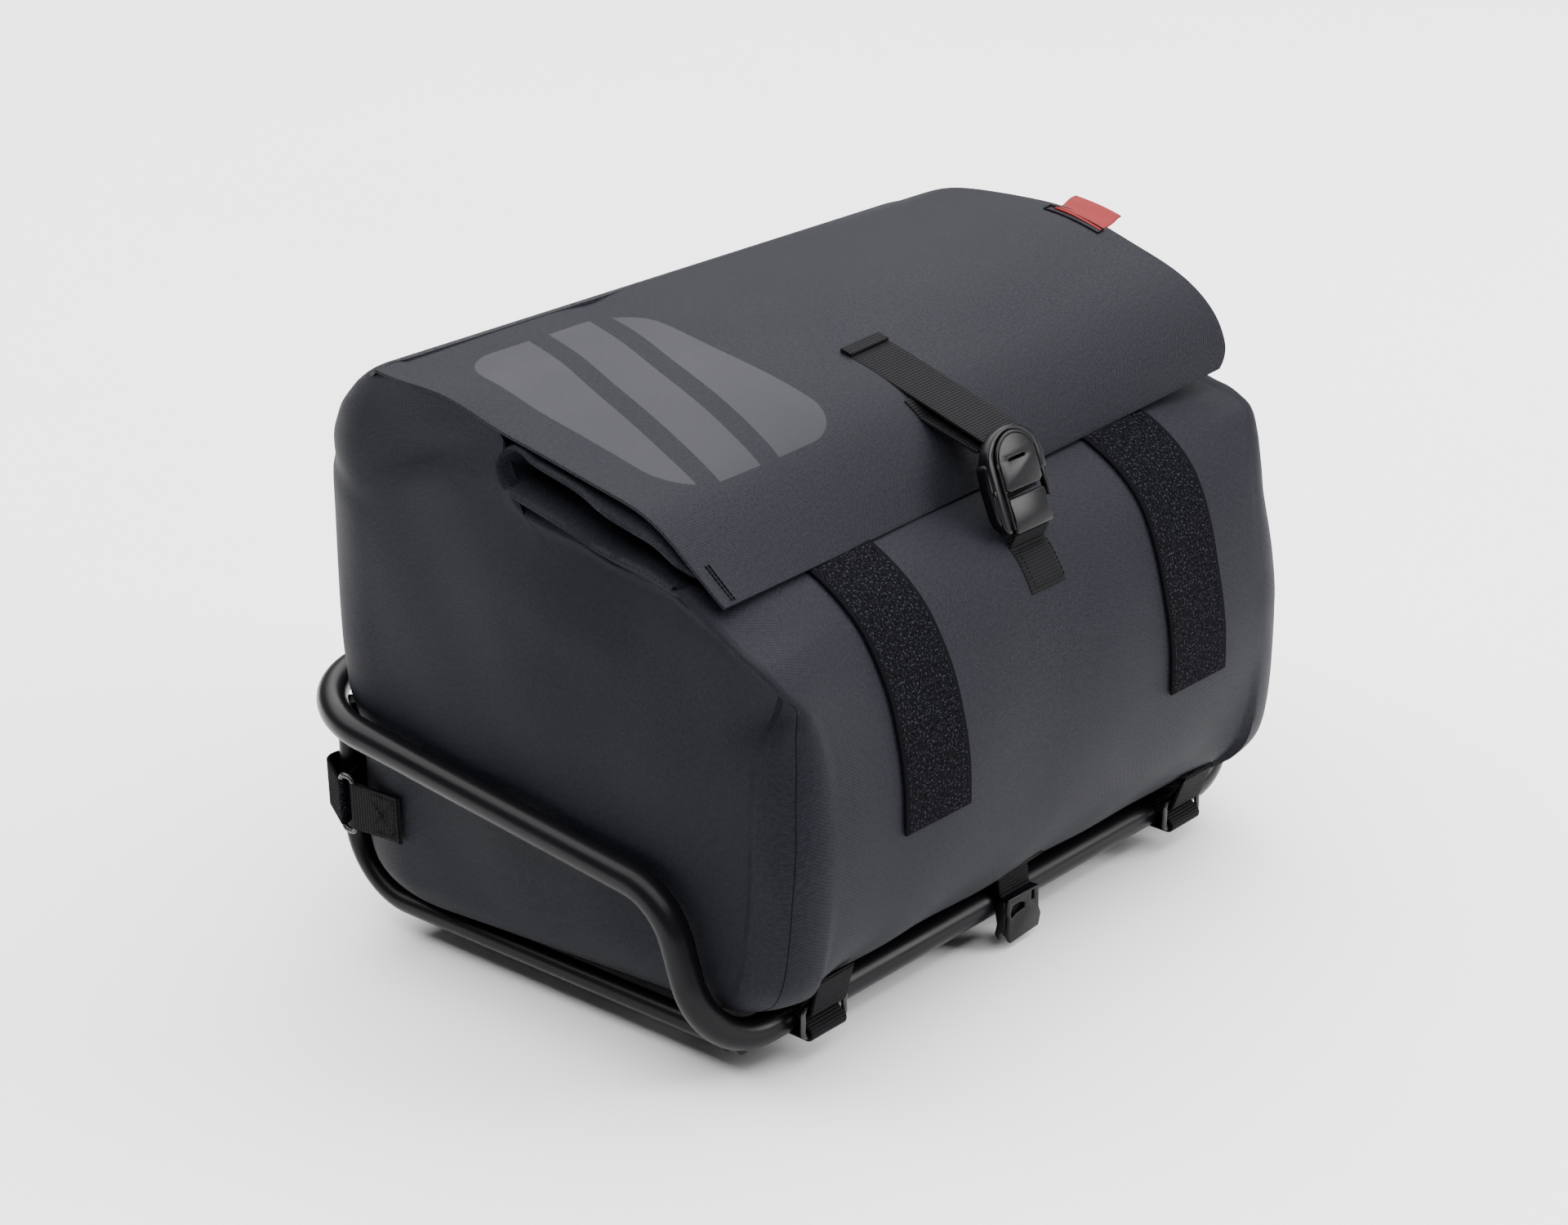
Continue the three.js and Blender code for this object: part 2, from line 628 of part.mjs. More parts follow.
/** A band of webbing round two bars, as a belt lies round two wheels, in a plane given by two axes. */
function belt(first, second, width, thickness, axes) {
  const [a, b] = [first, second];
  const gap = Math.hypot(b.u - a.u, b.v - a.v);
  const heading = Math.atan2(b.v - a.v, b.u - a.u);
  const spread = Math.acos((a.radius - b.radius) / gap);
  const arc = (wheel, from, to) => {
    const steps = Math.max(2, Math.ceil(Math.abs(to - from) / (2.6 * ARC_STEP)));
    return Array.from({ length: steps + 1 }, (unused, k) => (
      { wheel, angle: heading + mix(from, to, k / steps) }));
  };
  const stops = [...arc(a, spread, 2 * Math.PI - spread), ...arc(b, -spread, spread)];
  const rings = stops.map(({ wheel, angle }) => {
    const place = (reach, along) => axes.origin.clone()
      .addScaledVector(axes.u, wheel.u + reach * Math.cos(angle))
      .addScaledVector(axes.v, wheel.v + reach * Math.sin(angle))
      .addScaledVector(axes.w, along);
    const [inside, outside] = [wheel.radius, wheel.radius + thickness];
    const half = width / 2;
    return [place(inside, -half), place(inside, half), place(outside, half), place(outside, -half)];
  });
  return loft(rings, 'loop');
}

/** A flat band of webbing along the line of its two edges. */
function band(edges, thickness) {
  const rings = edges.map(([left, right], i) => {
    const before = edges[Math.max(i - 1, 0)];
    const after = edges[Math.min(i + 1, edges.length - 1)];
    const along = before[0].clone().add(before[1]).sub(after[0]).sub(after[1]);
    const out = right.clone().sub(left).cross(along).normalize().multiplyScalar(thickness);
    return [left, right, right.clone().add(out), left.clone().add(out)];
  });
  return loft(rings);
}

/** The two edges of a level band of webbing whose middle passes through a point. */
const bandEdge = (point, x, width) => [-width / 2, width / 2].map((side) => vec(x + side, point.y, point.z));

/** A rectangular ring of wire in a plane given by two axes. */
function wireRing(centre, uAxis, vAxis, width, height) {
  const corner = (u, v) => centre.clone()
    .addScaledVector(uAxis, (u * width) / 2)
    .addScaledVector(vAxis, (v * height) / 2);
  const corners = [corner(-1, -1), corner(1, -1), corner(1, 1), corner(-1, 1)];
  return barAlong(roundedPath(corners, corners.map(() => RING_WIRE), true), RING_WIRE, true, 8);
}

/** The edges of the front strap where it lies on the flap. */
function strapOnFlap(lift, from, to, steps) {
  const half = STRAP_WIDTH / 2;
  return Array.from({ length: steps + 1 }, (unused, k) => {
    const along = mix(from, to, k / steps);
    return [STRAP_OFFSET - half, STRAP_OFFSET + half].map((x) => {
      const across = (2 * x) / FLAP_WIDTH;
      return flapPoint(across, along).addScaledVector(flapNormal(across, along), lift);
    });
  });
}

// Buckle. Its own frame has y up the buckle and z out of the bag.

const slab = (shape, depth, lift) => {
  const geometry = new THREE.ExtrudeGeometry(shape, { depth, bevelEnabled: false, curveSegments: 6 });
  geometry.translate(0, 0, lift);
  return geometry;
};

/** A rectangle with one radius at its top corners and another at its foot. */
function roundedShape(width, foot, top, topRadius, footRadius) {
  const shape = new THREE.Shape();
  const half = width / 2;
  shape.moveTo(-half + footRadius, foot);
  shape.lineTo(half - footRadius, foot);
  shape.absarc(half - footRadius, foot + footRadius, footRadius, -Math.PI / 2, 0, false);
  shape.lineTo(half, top - topRadius);
  shape.absarc(half - topRadius, top - topRadius, topRadius, 0, Math.PI / 2, false);
  shape.lineTo(-half + topRadius, top);
  shape.absarc(-half + topRadius, top - topRadius, topRadius, Math.PI / 2, Math.PI, false);
  shape.lineTo(-half, foot + footRadius);
  shape.absarc(-half + footRadius, foot + footRadius, footRadius, Math.PI, 1.5 * Math.PI, false);
  return shape;
}

const BUCKLE_ARM = 5;
const BUCKLE_ARCH = 15;
const BUCKLE_WINDOW = BUCKLE_WIDTH - 2 * BUCKLE_ARM;
const TAB_HEIGHT = 24;
const TAB_SLOT = 12;

/** The buckle's frame: two arms joined by an arch at the top, open at the foot. */
function buckleFrame() {
  const half = BUCKLE_HEIGHT / 2;
  const outline = roundedShape(BUCKLE_WIDTH, -half, half, BUCKLE_ARCH, BUCKLE_ARM / 2.5);
  const windowArch = BUCKLE_ARCH - BUCKLE_ARM;
  const window = roundedShape(BUCKLE_WINDOW, -half - BUCKLE_ARM, half - BUCKLE_ARM, windowArch, 1);
  return weld([slab(outline, BUCKLE_THICKNESS, -BUCKLE_THICKNESS / 2)],
    [slab(window, 2 * BUCKLE_THICKNESS, -BUCKLE_THICKNESS)]);
}

/** The arched press tab inside the frame's top, with a slot through it. */
function buckleTab() {
  const top = BUCKLE_HEIGHT / 2 - BUCKLE_ARM - CLEARANCE;
  const width = BUCKLE_WINDOW - 2 * CLEARANCE;
  const face = roundedShape(width, top - TAB_HEIGHT, top, BUCKLE_ARCH - BUCKLE_ARM, 1);
  const slot = new THREE.BoxGeometry(TAB_SLOT, 1.6, 4 * BUCKLE_PLATE);
  slot.translate(0, top - TAB_HEIGHT * 0.4, BUCKLE_THICKNESS / 2);
  return weld([slab(face, BUCKLE_PLATE, BUCKLE_THICKNESS / 2 - BUCKLE_PLATE)], [slot]);
}

/** The plate that carries the anchor webbing, hooked into the frame below the tab. */
function bucklePlate() {
  const top = BUCKLE_HEIGHT / 2 - BUCKLE_ARM - TAB_HEIGHT - 3 * CLEARANCE;
  const width = BUCKLE_WINDOW - 2 * CLEARANCE;
  const face = roundedShape(width, -BUCKLE_HEIGHT / 2 - 1, top, 1.5, 2);
  return slab(face, BUCKLE_PLATE, BUCKLE_THICKNESS / 2 - BUCKLE_PLATE);
}

const buckle = new THREE.Group();
const flapFoot = flapMiddle.getPoint(1);
buckle.position.set(STRAP_OFFSET, flapFoot.y - BUCKLE_STAND_OFF, flapFoot.z + BUCKLE_LIFT);
buckle.rotation.x = Math.PI / 2 - BUCKLE_TILT;
const buckleUp = vec(0, Math.sin(BUCKLE_TILT), Math.cos(BUCKLE_TILT));

/** The strap from its sewn end down the flap and on to the buckle's arch. */
function frontStrap() {
  const end = buckle.position.clone().addScaledVector(buckleUp, BUCKLE_HEIGHT / 2 + CLEARANCE);
  return band([...strapOnFlap(CLEARANCE, 0.56, 0.74, 8), bandEdge(end, STRAP_OFFSET, STRAP_WIDTH)], WEBBING);
}

/** The strap's end, folded back and sewn on top of it. */
const strapEnd = () => band(strapOnFlap(WEBBING + 2 * CLEARANCE, 0.56, 0.6, 3), WEBBING);

/** The webbing from the plate's foot to the bag's front, where it is sewn flat. */
function anchorWebbing() {
  const foot = buckle.position.clone().addScaledVector(buckleUp, -BUCKLE_HEIGHT / 2 - 2 * CLEARANCE);
  foot.y -= BUCKLE_THICKNESS / 2;
  const onBag = [0.66, 0.64, 0.62, 0.6, 0.58].map((up) => {
    const z = BAG_FLOOR + up * BAG_HEIGHT;
    return vec(0, section(z, 0, (STRAP_OFFSET + ANCHOR_WIDTH / 2) / BAG_HALF).front - 2 * CLEARANCE, z);
  });
  return band([foot, ...onBag].map((p) => bandEdge(p, STRAP_OFFSET, ANCHOR_WIDTH)), WEBBING);
}

// Straps on the rail

/** Strap, ring and tab that tie the bag's front to the rail, centred on x. */
function railTie(x) {
  const railY = -RIM_DEPTH / 2;
  const out = RIM_TUBE / 2 + RING_WIRE / 2 + 2 * WEBBING + 2 * CLEARANCE;
  const ringZ = RIM_Z + 1.5;
  const ringY = railY - out - 1;
  const barRise = RAIL_RING_HEIGHT / 2;
  const axes = { origin: vec(x, 0, 0), u: vec(0, 1, 0), v: vec(0, 0, 1), w: vec(1, 0, 0) };
  const bar = RING_WIRE / 2 + CLEARANCE;
  const rail = { u: railY, v: RIM_Z, radius: RIM_TUBE / 2 + CLEARANCE };
  const lowBar = { u: ringY, v: ringZ - barRise, radius: bar };
  const highBar = { u: ringY, v: ringZ + barRise, radius: bar };
  const tabZ = BAG_FLOOR + 22;
  const tabTop = { u: section(tabZ, 0).front - WEBBING - 2 * CLEARANCE, v: tabZ, radius: CLEARANCE };
  const ringWidth = RAIL_STRAP_WIDTH + RING_WIRE + 2;
  return {
    strap: belt(rail, lowBar, RAIL_STRAP_WIDTH, WEBBING, axes),
    tab: belt(tabTop, highBar, RAIL_STRAP_WIDTH, WEBBING, axes),
    ring: wireRing(vec(x, ringY, ringZ), vec(1, 0, 0), vec(0, 0, 1), ringWidth, RAIL_RING_HEIGHT),
  };
}

/** The clip in the middle of the rail: a plate in front, a bridge over its top and a leaf behind. */
function clipPlate() {
  const railY = -RIM_DEPTH / 2;
  const leafY = railY - RIM_TUBE / 2 - CLEARANCE;
  const plateY = leafY - 3 * CLIP_PLATE;
  const top = RIM_Z + RIM_TUBE / 2 - 2;
  const foot = top - CLIP_HEIGHT;
  const profile = new THREE.Shape();
  profile.moveTo(plateY, top);
  profile.lineTo(plateY - 1, foot);
  profile.lineTo(plateY + CLIP_PLATE - 1, foot - 0.4);
  profile.lineTo(plateY + CLIP_PLATE, top - 3 * CLIP_PLATE);
  profile.lineTo(leafY - CLIP_PLATE * 0.6, top - 3 * CLIP_PLATE);
  profile.lineTo(leafY - CLIP_PLATE * 0.8, foot + 5);
  profile.lineTo(leafY + 1, foot + 1.4);
  profile.lineTo(leafY + 2, foot + 3);
  profile.lineTo(leafY, foot + 7);
  profile.lineTo(leafY, top - CLIP_PLATE);
  const plate = new THREE.ExtrudeGeometry(profile, { depth: CLIP_WIDTH, bevelEnabled: false });
  plate.applyMatrix4(new THREE.Matrix4().makeBasis(vec(0, 1, 0), vec(0, 0, 1), vec(1, 0, 0)));
  plate.translate(CLIP_OFFSET - CLIP_WIDTH / 2, 0, 0);
  return plate;
}

/** Webbing from under the bag to the clip. */
function clipWebbing() {
  const railY = -RIM_DEPTH / 2;
  const top = RIM_Z + RIM_TUBE / 2 - 2 + CLEARANCE;
  const zs = [BAG_FLOOR + 19, BAG_FLOOR + 13];
  const onBag = zs.map((z) => vec(0, section(z, 0).front - CLEARANCE, z));
  const end = vec(0, railY - RIM_TUBE / 2 - 2 * CLIP_PLATE - CLEARANCE + WEBBING, top + WEBBING);
  return band([...onBag, end].map((p) => bandEdge(p, CLIP_OFFSET, CLIP_WIDTH - 2)), WEBBING);
}

// Straps on the rear posts

/** Sewn tab, ring and hook-and-loop strap that tie a side of the bag to the post behind it. */
function postTie(side) {
  const z = RIM_Z + SIDE_TAB_RISE - RAIL_STRAP_WIDTH / 2 - 8;
  const postY = RIM_DEPTH / 2 - BASE_POST_INSET;
  const postX = (side * BASE_WIDTH) / 2;
  const wall = side * (BAG_HALF + WEBBING + RING_WIRE);
  const bar = RING_WIRE / 2 + CLEARANCE;
  const ringHalf = 4.5;
  const ringY = postY - BASE_TUBE / 2 - 14;
  const axes = { origin: vec(0, 0, z), u: vec(1, 0, 0), v: vec(0, 1, 0), w: vec(0, 0, 1) };
  const post = { u: postX, v: postY, radius: BASE_TUBE / 2 + CLEARANCE };
  const rearBar = { u: wall, v: ringY + ringHalf, radius: bar };
  const frontBar = { u: wall, v: ringY - ringHalf, radius: bar };
  const tabFront = ringY - ringHalf - SIDE_TAB_LENGTH;
  const tabEnd = { u: side * (BAG_HALF + WEBBING + 3 * CLEARANCE), v: tabFront, radius: CLEARANCE };
  const ringWidth = RAIL_STRAP_WIDTH + RING_WIRE + 2;
  return {
    strap: belt(post, rearBar, RAIL_STRAP_WIDTH, WEBBING, axes),
    tab: belt(tabEnd, frontBar, RAIL_STRAP_WIDTH, WEBBING, axes),
    ring: wireRing(vec(wall, ringY, z), vec(0, 1, 0), vec(0, 0, 1), 2 * ringHalf, ringWidth),
  };
}

/** The label folded out of the flap's right edge. */
function sideTag() {
  const along = flapRight.getPoint(TAG_BACK / BAG_DEPTH);
  const tag = new THREE.BoxGeometry(TAG_REACH, TAG_LENGTH, TAG_THICKNESS);
  tag.rotateY(-0.2);
  tag.translate(along.x + CLEARANCE + TAG_REACH / 2, along.y, along.z + 0.6);
  return tag;
}

// Assembly

const bag = new THREE.Group();

/** Adds a named piece to a group. */
function add(group, name, geometry, material) {
  const mesh = new THREE.Mesh(geometry, material);
  mesh.name = name;
  group.add(mesh);
}

add(bag, 'rim_hoop', rimHoop, powderCoat);
add(bag, 'base_frame', baseFrame(), powderCoat);
add(bag, 'bag_shell', bagShell(), cloth);
add(bag, 'closing_flap', sheetOnFlap(-1, 1, 0, 1, FLAP_COLUMNS, FLAP_STEPS, -CLOTH, 0), cloth);
[['left', -1], ['right', 1]].forEach(([name, side]) => {
  add(bag, `gusset_fold_${name}`, gussetFold(side), cloth);
  const stripX = (side * STRIP_SPACING) / 2;
  const strip = frontPanel(stripX, STRIP_WIDTH, STRIP_FOOT, STRIP_TOP, 3 * CLEARANCE, STRIP_THICKNESS, 12);
  add(bag, `loop_strip_${name}`, strip, fuzzyLoop);
  const rail = railTie((side * RAIL_STRAP_SPACING) / 2);
  add(bag, `rail_strap_${name}`, rail.strap, webbing);
  add(bag, `rail_tab_${name}`, rail.tab, webbing);
  add(bag, `rail_ring_${name}`, rail.ring, steel);
  const post = postTie(side);
  add(bag, `post_strap_${name}`, post.strap, fuzzyLoop);
  add(bag, `post_tab_${name}`, post.tab, webbing);
  add(bag, `post_ring_${name}`, post.ring, steel);
});
add(bag, 'front_strap', frontStrap(), webbing);
add(bag, 'strap_end', strapEnd(), webbing);
add(bag, 'anchor_webbing', anchorWebbing(), webbing);
add(buckle, 'buckle_frame', buckleFrame(), plastic);
add(buckle, 'buckle_tab', buckleTab(), plastic);
add(buckle, 'buckle_plate', bucklePlate(), plastic);
bag.add(buckle);
add(bag, 'clip_plate', clipPlate(), plastic);
add(bag, 'clip_webbing', clipWebbing(), webbing);
add(bag, 'side_tag', sideTag(), labelCloth);

// The part's origin is the middle of its footprint
const reach = new THREE.Box3().setFromObject(bag, true);
const middle = reach.getCenter(vec(0, 0, 0));
bag.position.set(-middle.x, -middle.y, -reach.min.z);

export default bag;
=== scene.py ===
"""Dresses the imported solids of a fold-over bag that is strapped into a tray of bent tube."""

import logging
import math
from dataclasses import dataclass, field
from enum import Enum
from typing import Sequence

import bmesh
import bpy
import numpy as np
from mathutils import Matrix, Vector


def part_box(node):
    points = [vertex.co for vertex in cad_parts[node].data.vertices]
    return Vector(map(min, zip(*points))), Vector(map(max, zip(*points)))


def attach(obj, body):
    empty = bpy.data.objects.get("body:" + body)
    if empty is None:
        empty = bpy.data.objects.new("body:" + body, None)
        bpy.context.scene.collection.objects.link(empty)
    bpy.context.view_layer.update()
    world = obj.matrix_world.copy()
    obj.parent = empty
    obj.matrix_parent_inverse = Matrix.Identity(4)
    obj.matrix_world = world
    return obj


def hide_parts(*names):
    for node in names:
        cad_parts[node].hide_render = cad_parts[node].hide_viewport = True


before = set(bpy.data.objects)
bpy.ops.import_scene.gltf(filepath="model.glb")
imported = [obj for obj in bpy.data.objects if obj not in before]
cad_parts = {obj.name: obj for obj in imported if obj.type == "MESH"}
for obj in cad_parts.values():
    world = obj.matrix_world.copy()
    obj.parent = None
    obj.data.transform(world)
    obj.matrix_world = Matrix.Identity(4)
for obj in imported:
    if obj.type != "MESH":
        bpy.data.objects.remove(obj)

log = logging.getLogger("tray_bag")

Number = float | np.ndarray
Points = Sequence[Sequence[float]]
Piece = bpy.types.Object
Finish = bpy.types.Material

MM = 0.001
FULL_TURN = 2 * math.pi
# Radians between the points of a rounded corner
ARC_STEP = 0.07
# Degrees at which each upright corner of the bag starts, going round from the left front one
CORNER_START = (180, 270, 0, 90)
# Height and place of the bag's lower front corners
LOWER_FRONT = (
    (12, -128), (18, -145), (24, -158), (31.7, -170), (36, -176), (48, -184.5), (60, -188), (90, -192))
SIDES = {-1: "left", 1: "right"}
TRAY_LOW, TRAY_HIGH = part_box("rim_hoop")
TRAY_ORIGIN = np.array([0.0, (TRAY_LOW.y + TRAY_HIGH.y) / 2, TRAY_LOW.z])


class Slot(Enum):
    """Names of the material slots."""

    TUBE = "tube"
    CLOTH = "cloth"
    LOOP_PILE = "loop_pile"
    WEBBING = "webbing"
    FITTING = "fitting"
    RING_WIRE = "ring_wire"
    LABEL = "label_cloth"


# Numbers and curves


def ease(low: float, high: float, value: Number) -> np.ndarray:
    """Smooth step from 0 at low to 1 at high."""
    t = np.clip((np.asarray(value, float) - low) / (high - low), 0, 1)
    return t * t * (3 - 2 * t)


def bump(centre: float, width: float, value: Number) -> np.ndarray:
    """Bell curve that is 1 at its centre."""
    return np.exp(-(((np.asarray(value, float) - centre) / width) ** 2))


def mix(a: Number, b: Number, t: Number) -> Number:
    """Blend from a to b."""
    return a + (b - a) * t


class Profile:
    """A curve through the rows of a table that never overshoots them."""

    def __init__(self, rows: Sequence[tuple[float, float]]) -> None:
        """Fits the slopes.

        Args:
            rows: pairs of place and value, places rising.
        """
        self.x = np.array([row[0] for row in rows], float)
        self.y = np.array([row[1] for row in rows], float)
        step = np.diff(self.x)
        rate = np.diff(self.y) / step
        slope = np.zeros(len(self.x))
        slope[0], slope[-1] = rate[0], rate[-1]
        for k in range(1, len(self.x) - 1):
            if rate[k - 1] * rate[k] > 0:
                first = 2 * step[k] + step[k - 1]
                second = step[k] + 2 * step[k - 1]
                slope[k] = (first + second) / (first / rate[k - 1] + second / rate[k])
        self.slope = slope

    def __call__(self, at: Number) -> np.ndarray:
        """The value at a place, held level past the table's ends."""
        p = np.clip(np.asarray(at, float), self.x[0], self.x[-1])
        k = np.clip(np.searchsorted(self.x, p) - 1, 0, len(self.x) - 2)
        h = self.x[k + 1] - self.x[k]
        t = (p - self.x[k]) / h
        start = (1 + 2 * t) * (1 - t) ** 2 * self.y[k] + t * (1 - t) ** 2 * h * self.slope[k]
        return start + t * t * (3 - 2 * t) * self.y[k + 1] + t * t * (t - 1) * h * self.slope[k + 1]


class Line3D:
    """A smooth line through points, read from 0 at the first to 1 at the last."""

    def __init__(self, points: Points) -> None:
        """Fits a natural cubic through the points.

        Args:
            points: coordinates in millimetres.
        """
        self.p = np.array(points, float)
        n = len(self.p)
        a = np.eye(n)
        b = np.zeros_like(self.p)
        for k in range(1, n - 1):
            a[k, k - 1 : k + 2] = [1, 4, 1]
            b[k] = 6 * (self.p[k + 1] - 2 * self.p[k] + self.p[k - 1])
        self.m = np.linalg.solve(a, b)

    def __call__(self, at: Number) -> np.ndarray:
        """The points at shares of the way along."""
        s = np.clip(np.asarray(at, float), 0, 1) * (len(self.p) - 1)
        k = np.clip(np.floor(s).astype(int), 0, len(self.p) - 2)
        t = (s - k)[..., None]
        curve = ((1 - t) ** 3 * self.m[k] + t**3 * self.m[k + 1]) / 6
        ends = (self.p[k] - self.m[k] / 6) * (1 - t) + (self.p[k + 1] - self.m[k + 1] / 6) * t
        return curve + ends


def curve(kind: type, points: Points) -> Profile | Line3D:
    """A dataclass field that holds a Profile or a Line3D through points."""
    return field(default_factory=lambda: kind(points))


def rounded_path(corners: Points, radii: Sequence[float], closed: bool) -> np.ndarray:
    """Rounds the corners of a run of points to arcs.

    Args:
        corners: the points.
        radii: one radius for each corner that is rounded.
        closed: whether the run joins its start.

    Returns:
        The points of the rounded run.
    """
    pts = [np.array(c, float) for c in corners]
    n = len(pts)
    path = [] if closed else [pts[0]]
    for i, radius in zip(range(0 if closed else 1, n if closed else n - 1), radii):
        back = pts[i - 1] - pts[i]
        ahead = pts[(i + 1) % n] - pts[i]
        back, ahead = back / np.linalg.norm(back), ahead / np.linalg.norm(ahead)
        angle = math.acos(float(np.clip(back @ ahead, -1, 1)))
        toward = (back + ahead) / np.linalg.norm(back + ahead)
        centre = pts[i] + toward * radius / math.sin(angle / 2)
        reach = radius / math.tan(angle / 2)
        start, end = pts[i] + back * reach - centre, pts[i] + ahead * reach - centre
        turn = math.pi - angle
        for t in np.linspace(0, 1, max(3, round(turn / ARC_STEP))):
            arc = start * math.sin(turn * (1 - t)) + end * math.sin(turn * t)
            path.append(centre + arc / math.sin(turn))
    if not closed:
        path.append(pts[-1])
    return np.array(path)


# Meshes


def link(name: str, data: bpy.types.ID) -> Piece:
    """Makes an object of some data and puts it in the scene."""
    piece = bpy.data.objects.new(name, data)
    bpy.context.scene.collection.objects.link(piece)
    return piece


def publish(name: str, verts: np.ndarray, faces: Sequence[Sequence[int]],
            uvs: np.ndarray | None = None) -> Piece:
    """Makes a mesh object from points in the tray's own millimetres.

    Args:
        name: the piece's name.
        verts: points, one row each.
        faces: lists of point numbers.
        uvs: for each point, its place on the flat cloth in metres.

    Returns:
        The object, linked to the scene.
    """
    mesh = bpy.data.meshes.new(name)
    mesh.from_pydata((verts * MM + TRAY_ORIGIN).tolist(), [], [list(f) for f in faces])
    if uvs is not None:
        layer = mesh.uv_layers.new(name="weave")
        order = np.zeros(len(mesh.loops), int)
        mesh.loops.foreach_get("vertex_index", order)
        layer.data.foreach_set("uv", uvs[order].astype(np.float32).ravel())
    mesh.shade_smooth()
    return link(name, mesh)


def arc_lengths(points: np.ndarray, axis: int) -> np.ndarray:
    """Distances along one direction of a grid of points."""
    steps = np.linalg.norm(np.diff(points, axis=axis), axis=-1)
    pad = [(0, 0), (0, 0)]
    pad[axis] = (1, 0)
    return np.cumsum(np.pad(steps, pad), axis=axis)


def grid_faces(rows: int, columns: int, wrap: bool, flip: bool) -> list[tuple[int, int, int, int]]:
    """Quads of a grid of points, with its columns joined round where wrap is set."""
    faces = []
    for r in range(rows - 1):
        for c in range(columns if wrap else columns - 1):
            d = (c + 1) % columns
            quad = (r * columns + c, r * columns + d, (r + 1) * columns + d, (r + 1) * columns + c)
            faces.append(quad[::-1] if flip else quad)
    return faces


def grid_piece(name: str, points: np.ndarray, flip: bool = False) -> Piece:
    """Makes an open sheet from a grid of points, with its flat cloth measured along the grid."""
    rows, columns = points.shape[:2]
    u = arc_lengths(points, 1)
    u = u - u[:, columns // 2][:, None]
    v = arc_lengths(points, 0)[:, columns // 2][:, None] + 0 * u
    uvs = np.stack([u, v], -1).reshape(-1, 2) * MM
    return publish(name, points.reshape(-1, 3), grid_faces(rows, columns, False, flip), uvs)


def bake(piece: Piece, sharp: float | None = 40) -> Piece:
    """Turns what the modifiers make into a plain mesh, and marks its sharp edges.

    Args:
        piece: the object.
        sharp: the angle in degrees past which an edge stays sharp, or None.

    Returns:
        The same object.
    """
    graph = bpy.context.evaluated_depsgraph_get()
    graph.update()
    mesh = bpy.data.meshes.new_from_object(piece.evaluated_get(graph))
    piece.modifiers.clear()
    old = piece.data
    piece.data = mesh
    bpy.data.meshes.remove(old)
    mesh.name = piece.name
    mesh.shade_smooth()
    if sharp is not None:
        mesh.set_sharp_from_angle(angle=math.radians(sharp))
    return piece


def round_edges(piece: Piece, width: float, segments: int, angle: float) -> Piece:
    """Bevels the edges that turn by more than an angle in degrees, width in millimetres."""
    soft = piece.modifiers.new("edge", "BEVEL")
    soft.width = width * MM
    soft.segments = segments
    soft.limit_method = "ANGLE"
    soft.angle_limit = math.radians(angle)
    return piece


def thicken(piece: Piece, thickness: float, offset: float, edge: float = 0.5,
            even: bool = True) -> Piece:
    """Gives a sheet its thickness and rounds its cut edges.

    Args:
        piece: the sheet.
        thickness: in millimetres.
        offset: -1 to grow behind the faces, 1 in front of them.
        edge: rounding of the cut edges in millimetres.
        even: whether the wall keeps its thickness at sharp turns.

    Returns:
        The same object as a plain mesh.
    """
    wall = piece.modifiers.new("wall", "SOLIDIFY")
    wall.thickness = thickness * MM
    wall.offset = offset
    wall.use_even_offset = even
    return bake(round_edges(piece, edge, 2, 60))


def slab(name: str, outline: Points, low: float, high: float, basis: Matrix,
         edge: float = 0.5, holes: Sequence[Points] = ()) -> Piece:
    """Makes a plate from a flat outline, with rounded edges.

    Args:
        name: the piece's name.
        outline: points in the plate's own plane, in millimetres.
        low: the back face's height.
        high: the front face's height.
        basis: the plate's own axes and place in the tray's millimetres.
        edge: rounding of its edges in millimetres.
        holes: outlines that are cut through.

    Returns:
        The object.
    """
    made = bmesh.new()
    loops = [outline, *holes]
    edges = []
    for loop in loops:
        ring = [made.verts.new((p[0], p[1], low)) for p in loop]
        edges += [made.edges.new((ring[i], ring[(i + 1) % len(ring)])) for i in range(len(ring))]
    bmesh.ops.triangle_fill(made, edges=edges, use_beauty=True)
    grown = bmesh.ops.extrude_face_region(made, geom=list(made.faces))
    tops = [v for v in grown["geom"] if isinstance(v, bmesh.types.BMVert)]
    bmesh.ops.translate(made, verts=tops, vec=(0, 0, high - low))
    bmesh.ops.recalc_face_normals(made, faces=made.faces)
    bmesh.ops.dissolve_limit(made, angle_limit=0.01, verts=made.verts, edges=made.edges)
    made.transform(Matrix.Translation(TRAY_ORIGIN) @ Matrix.Scale(MM, 4) @ basis)
    mesh = bpy.data.meshes.new(name)
    made.to_mesh(mesh)
    made.free()
    return bake(round_edges(link(name, mesh), edge, 3, 35), 50)


def arc(wide: float, high: float, start: float, end: float, count: int,
        centre: float = 0) -> list[tuple[float, float]]:
    """Points of a flat arc: its half width and height, its angles and its centre's height."""
    return [(wide * math.cos(a), centre + high * math.sin(a)) for a in np.linspace(start, end, count)]


def place_at(x: float, y: float, z: float, tilt: float = 0) -> Matrix:
    """Axes of an upright plate that faces the front, leaned back by an angle in degrees."""
    return Matrix.Translation((x, y, z)) @ Matrix.Rotation(math.radians(90 - tilt), 4, "X")


def join(name: str, pieces: Sequence[Piece]) -> Piece:
    """Joins pieces of one finish into a new one."""
    made = bmesh.new()
    for piece in pieces:
        made.from_mesh(piece.data)
    mesh = bpy.data.meshes.new(name)
    made.to_mesh(mesh)
    made.free()
    mesh.materials.append(pieces[0].data.materials[0])
    for piece in pieces:
        bpy.data.objects.remove(piece)
    return link(name, mesh)


# Shader expressions


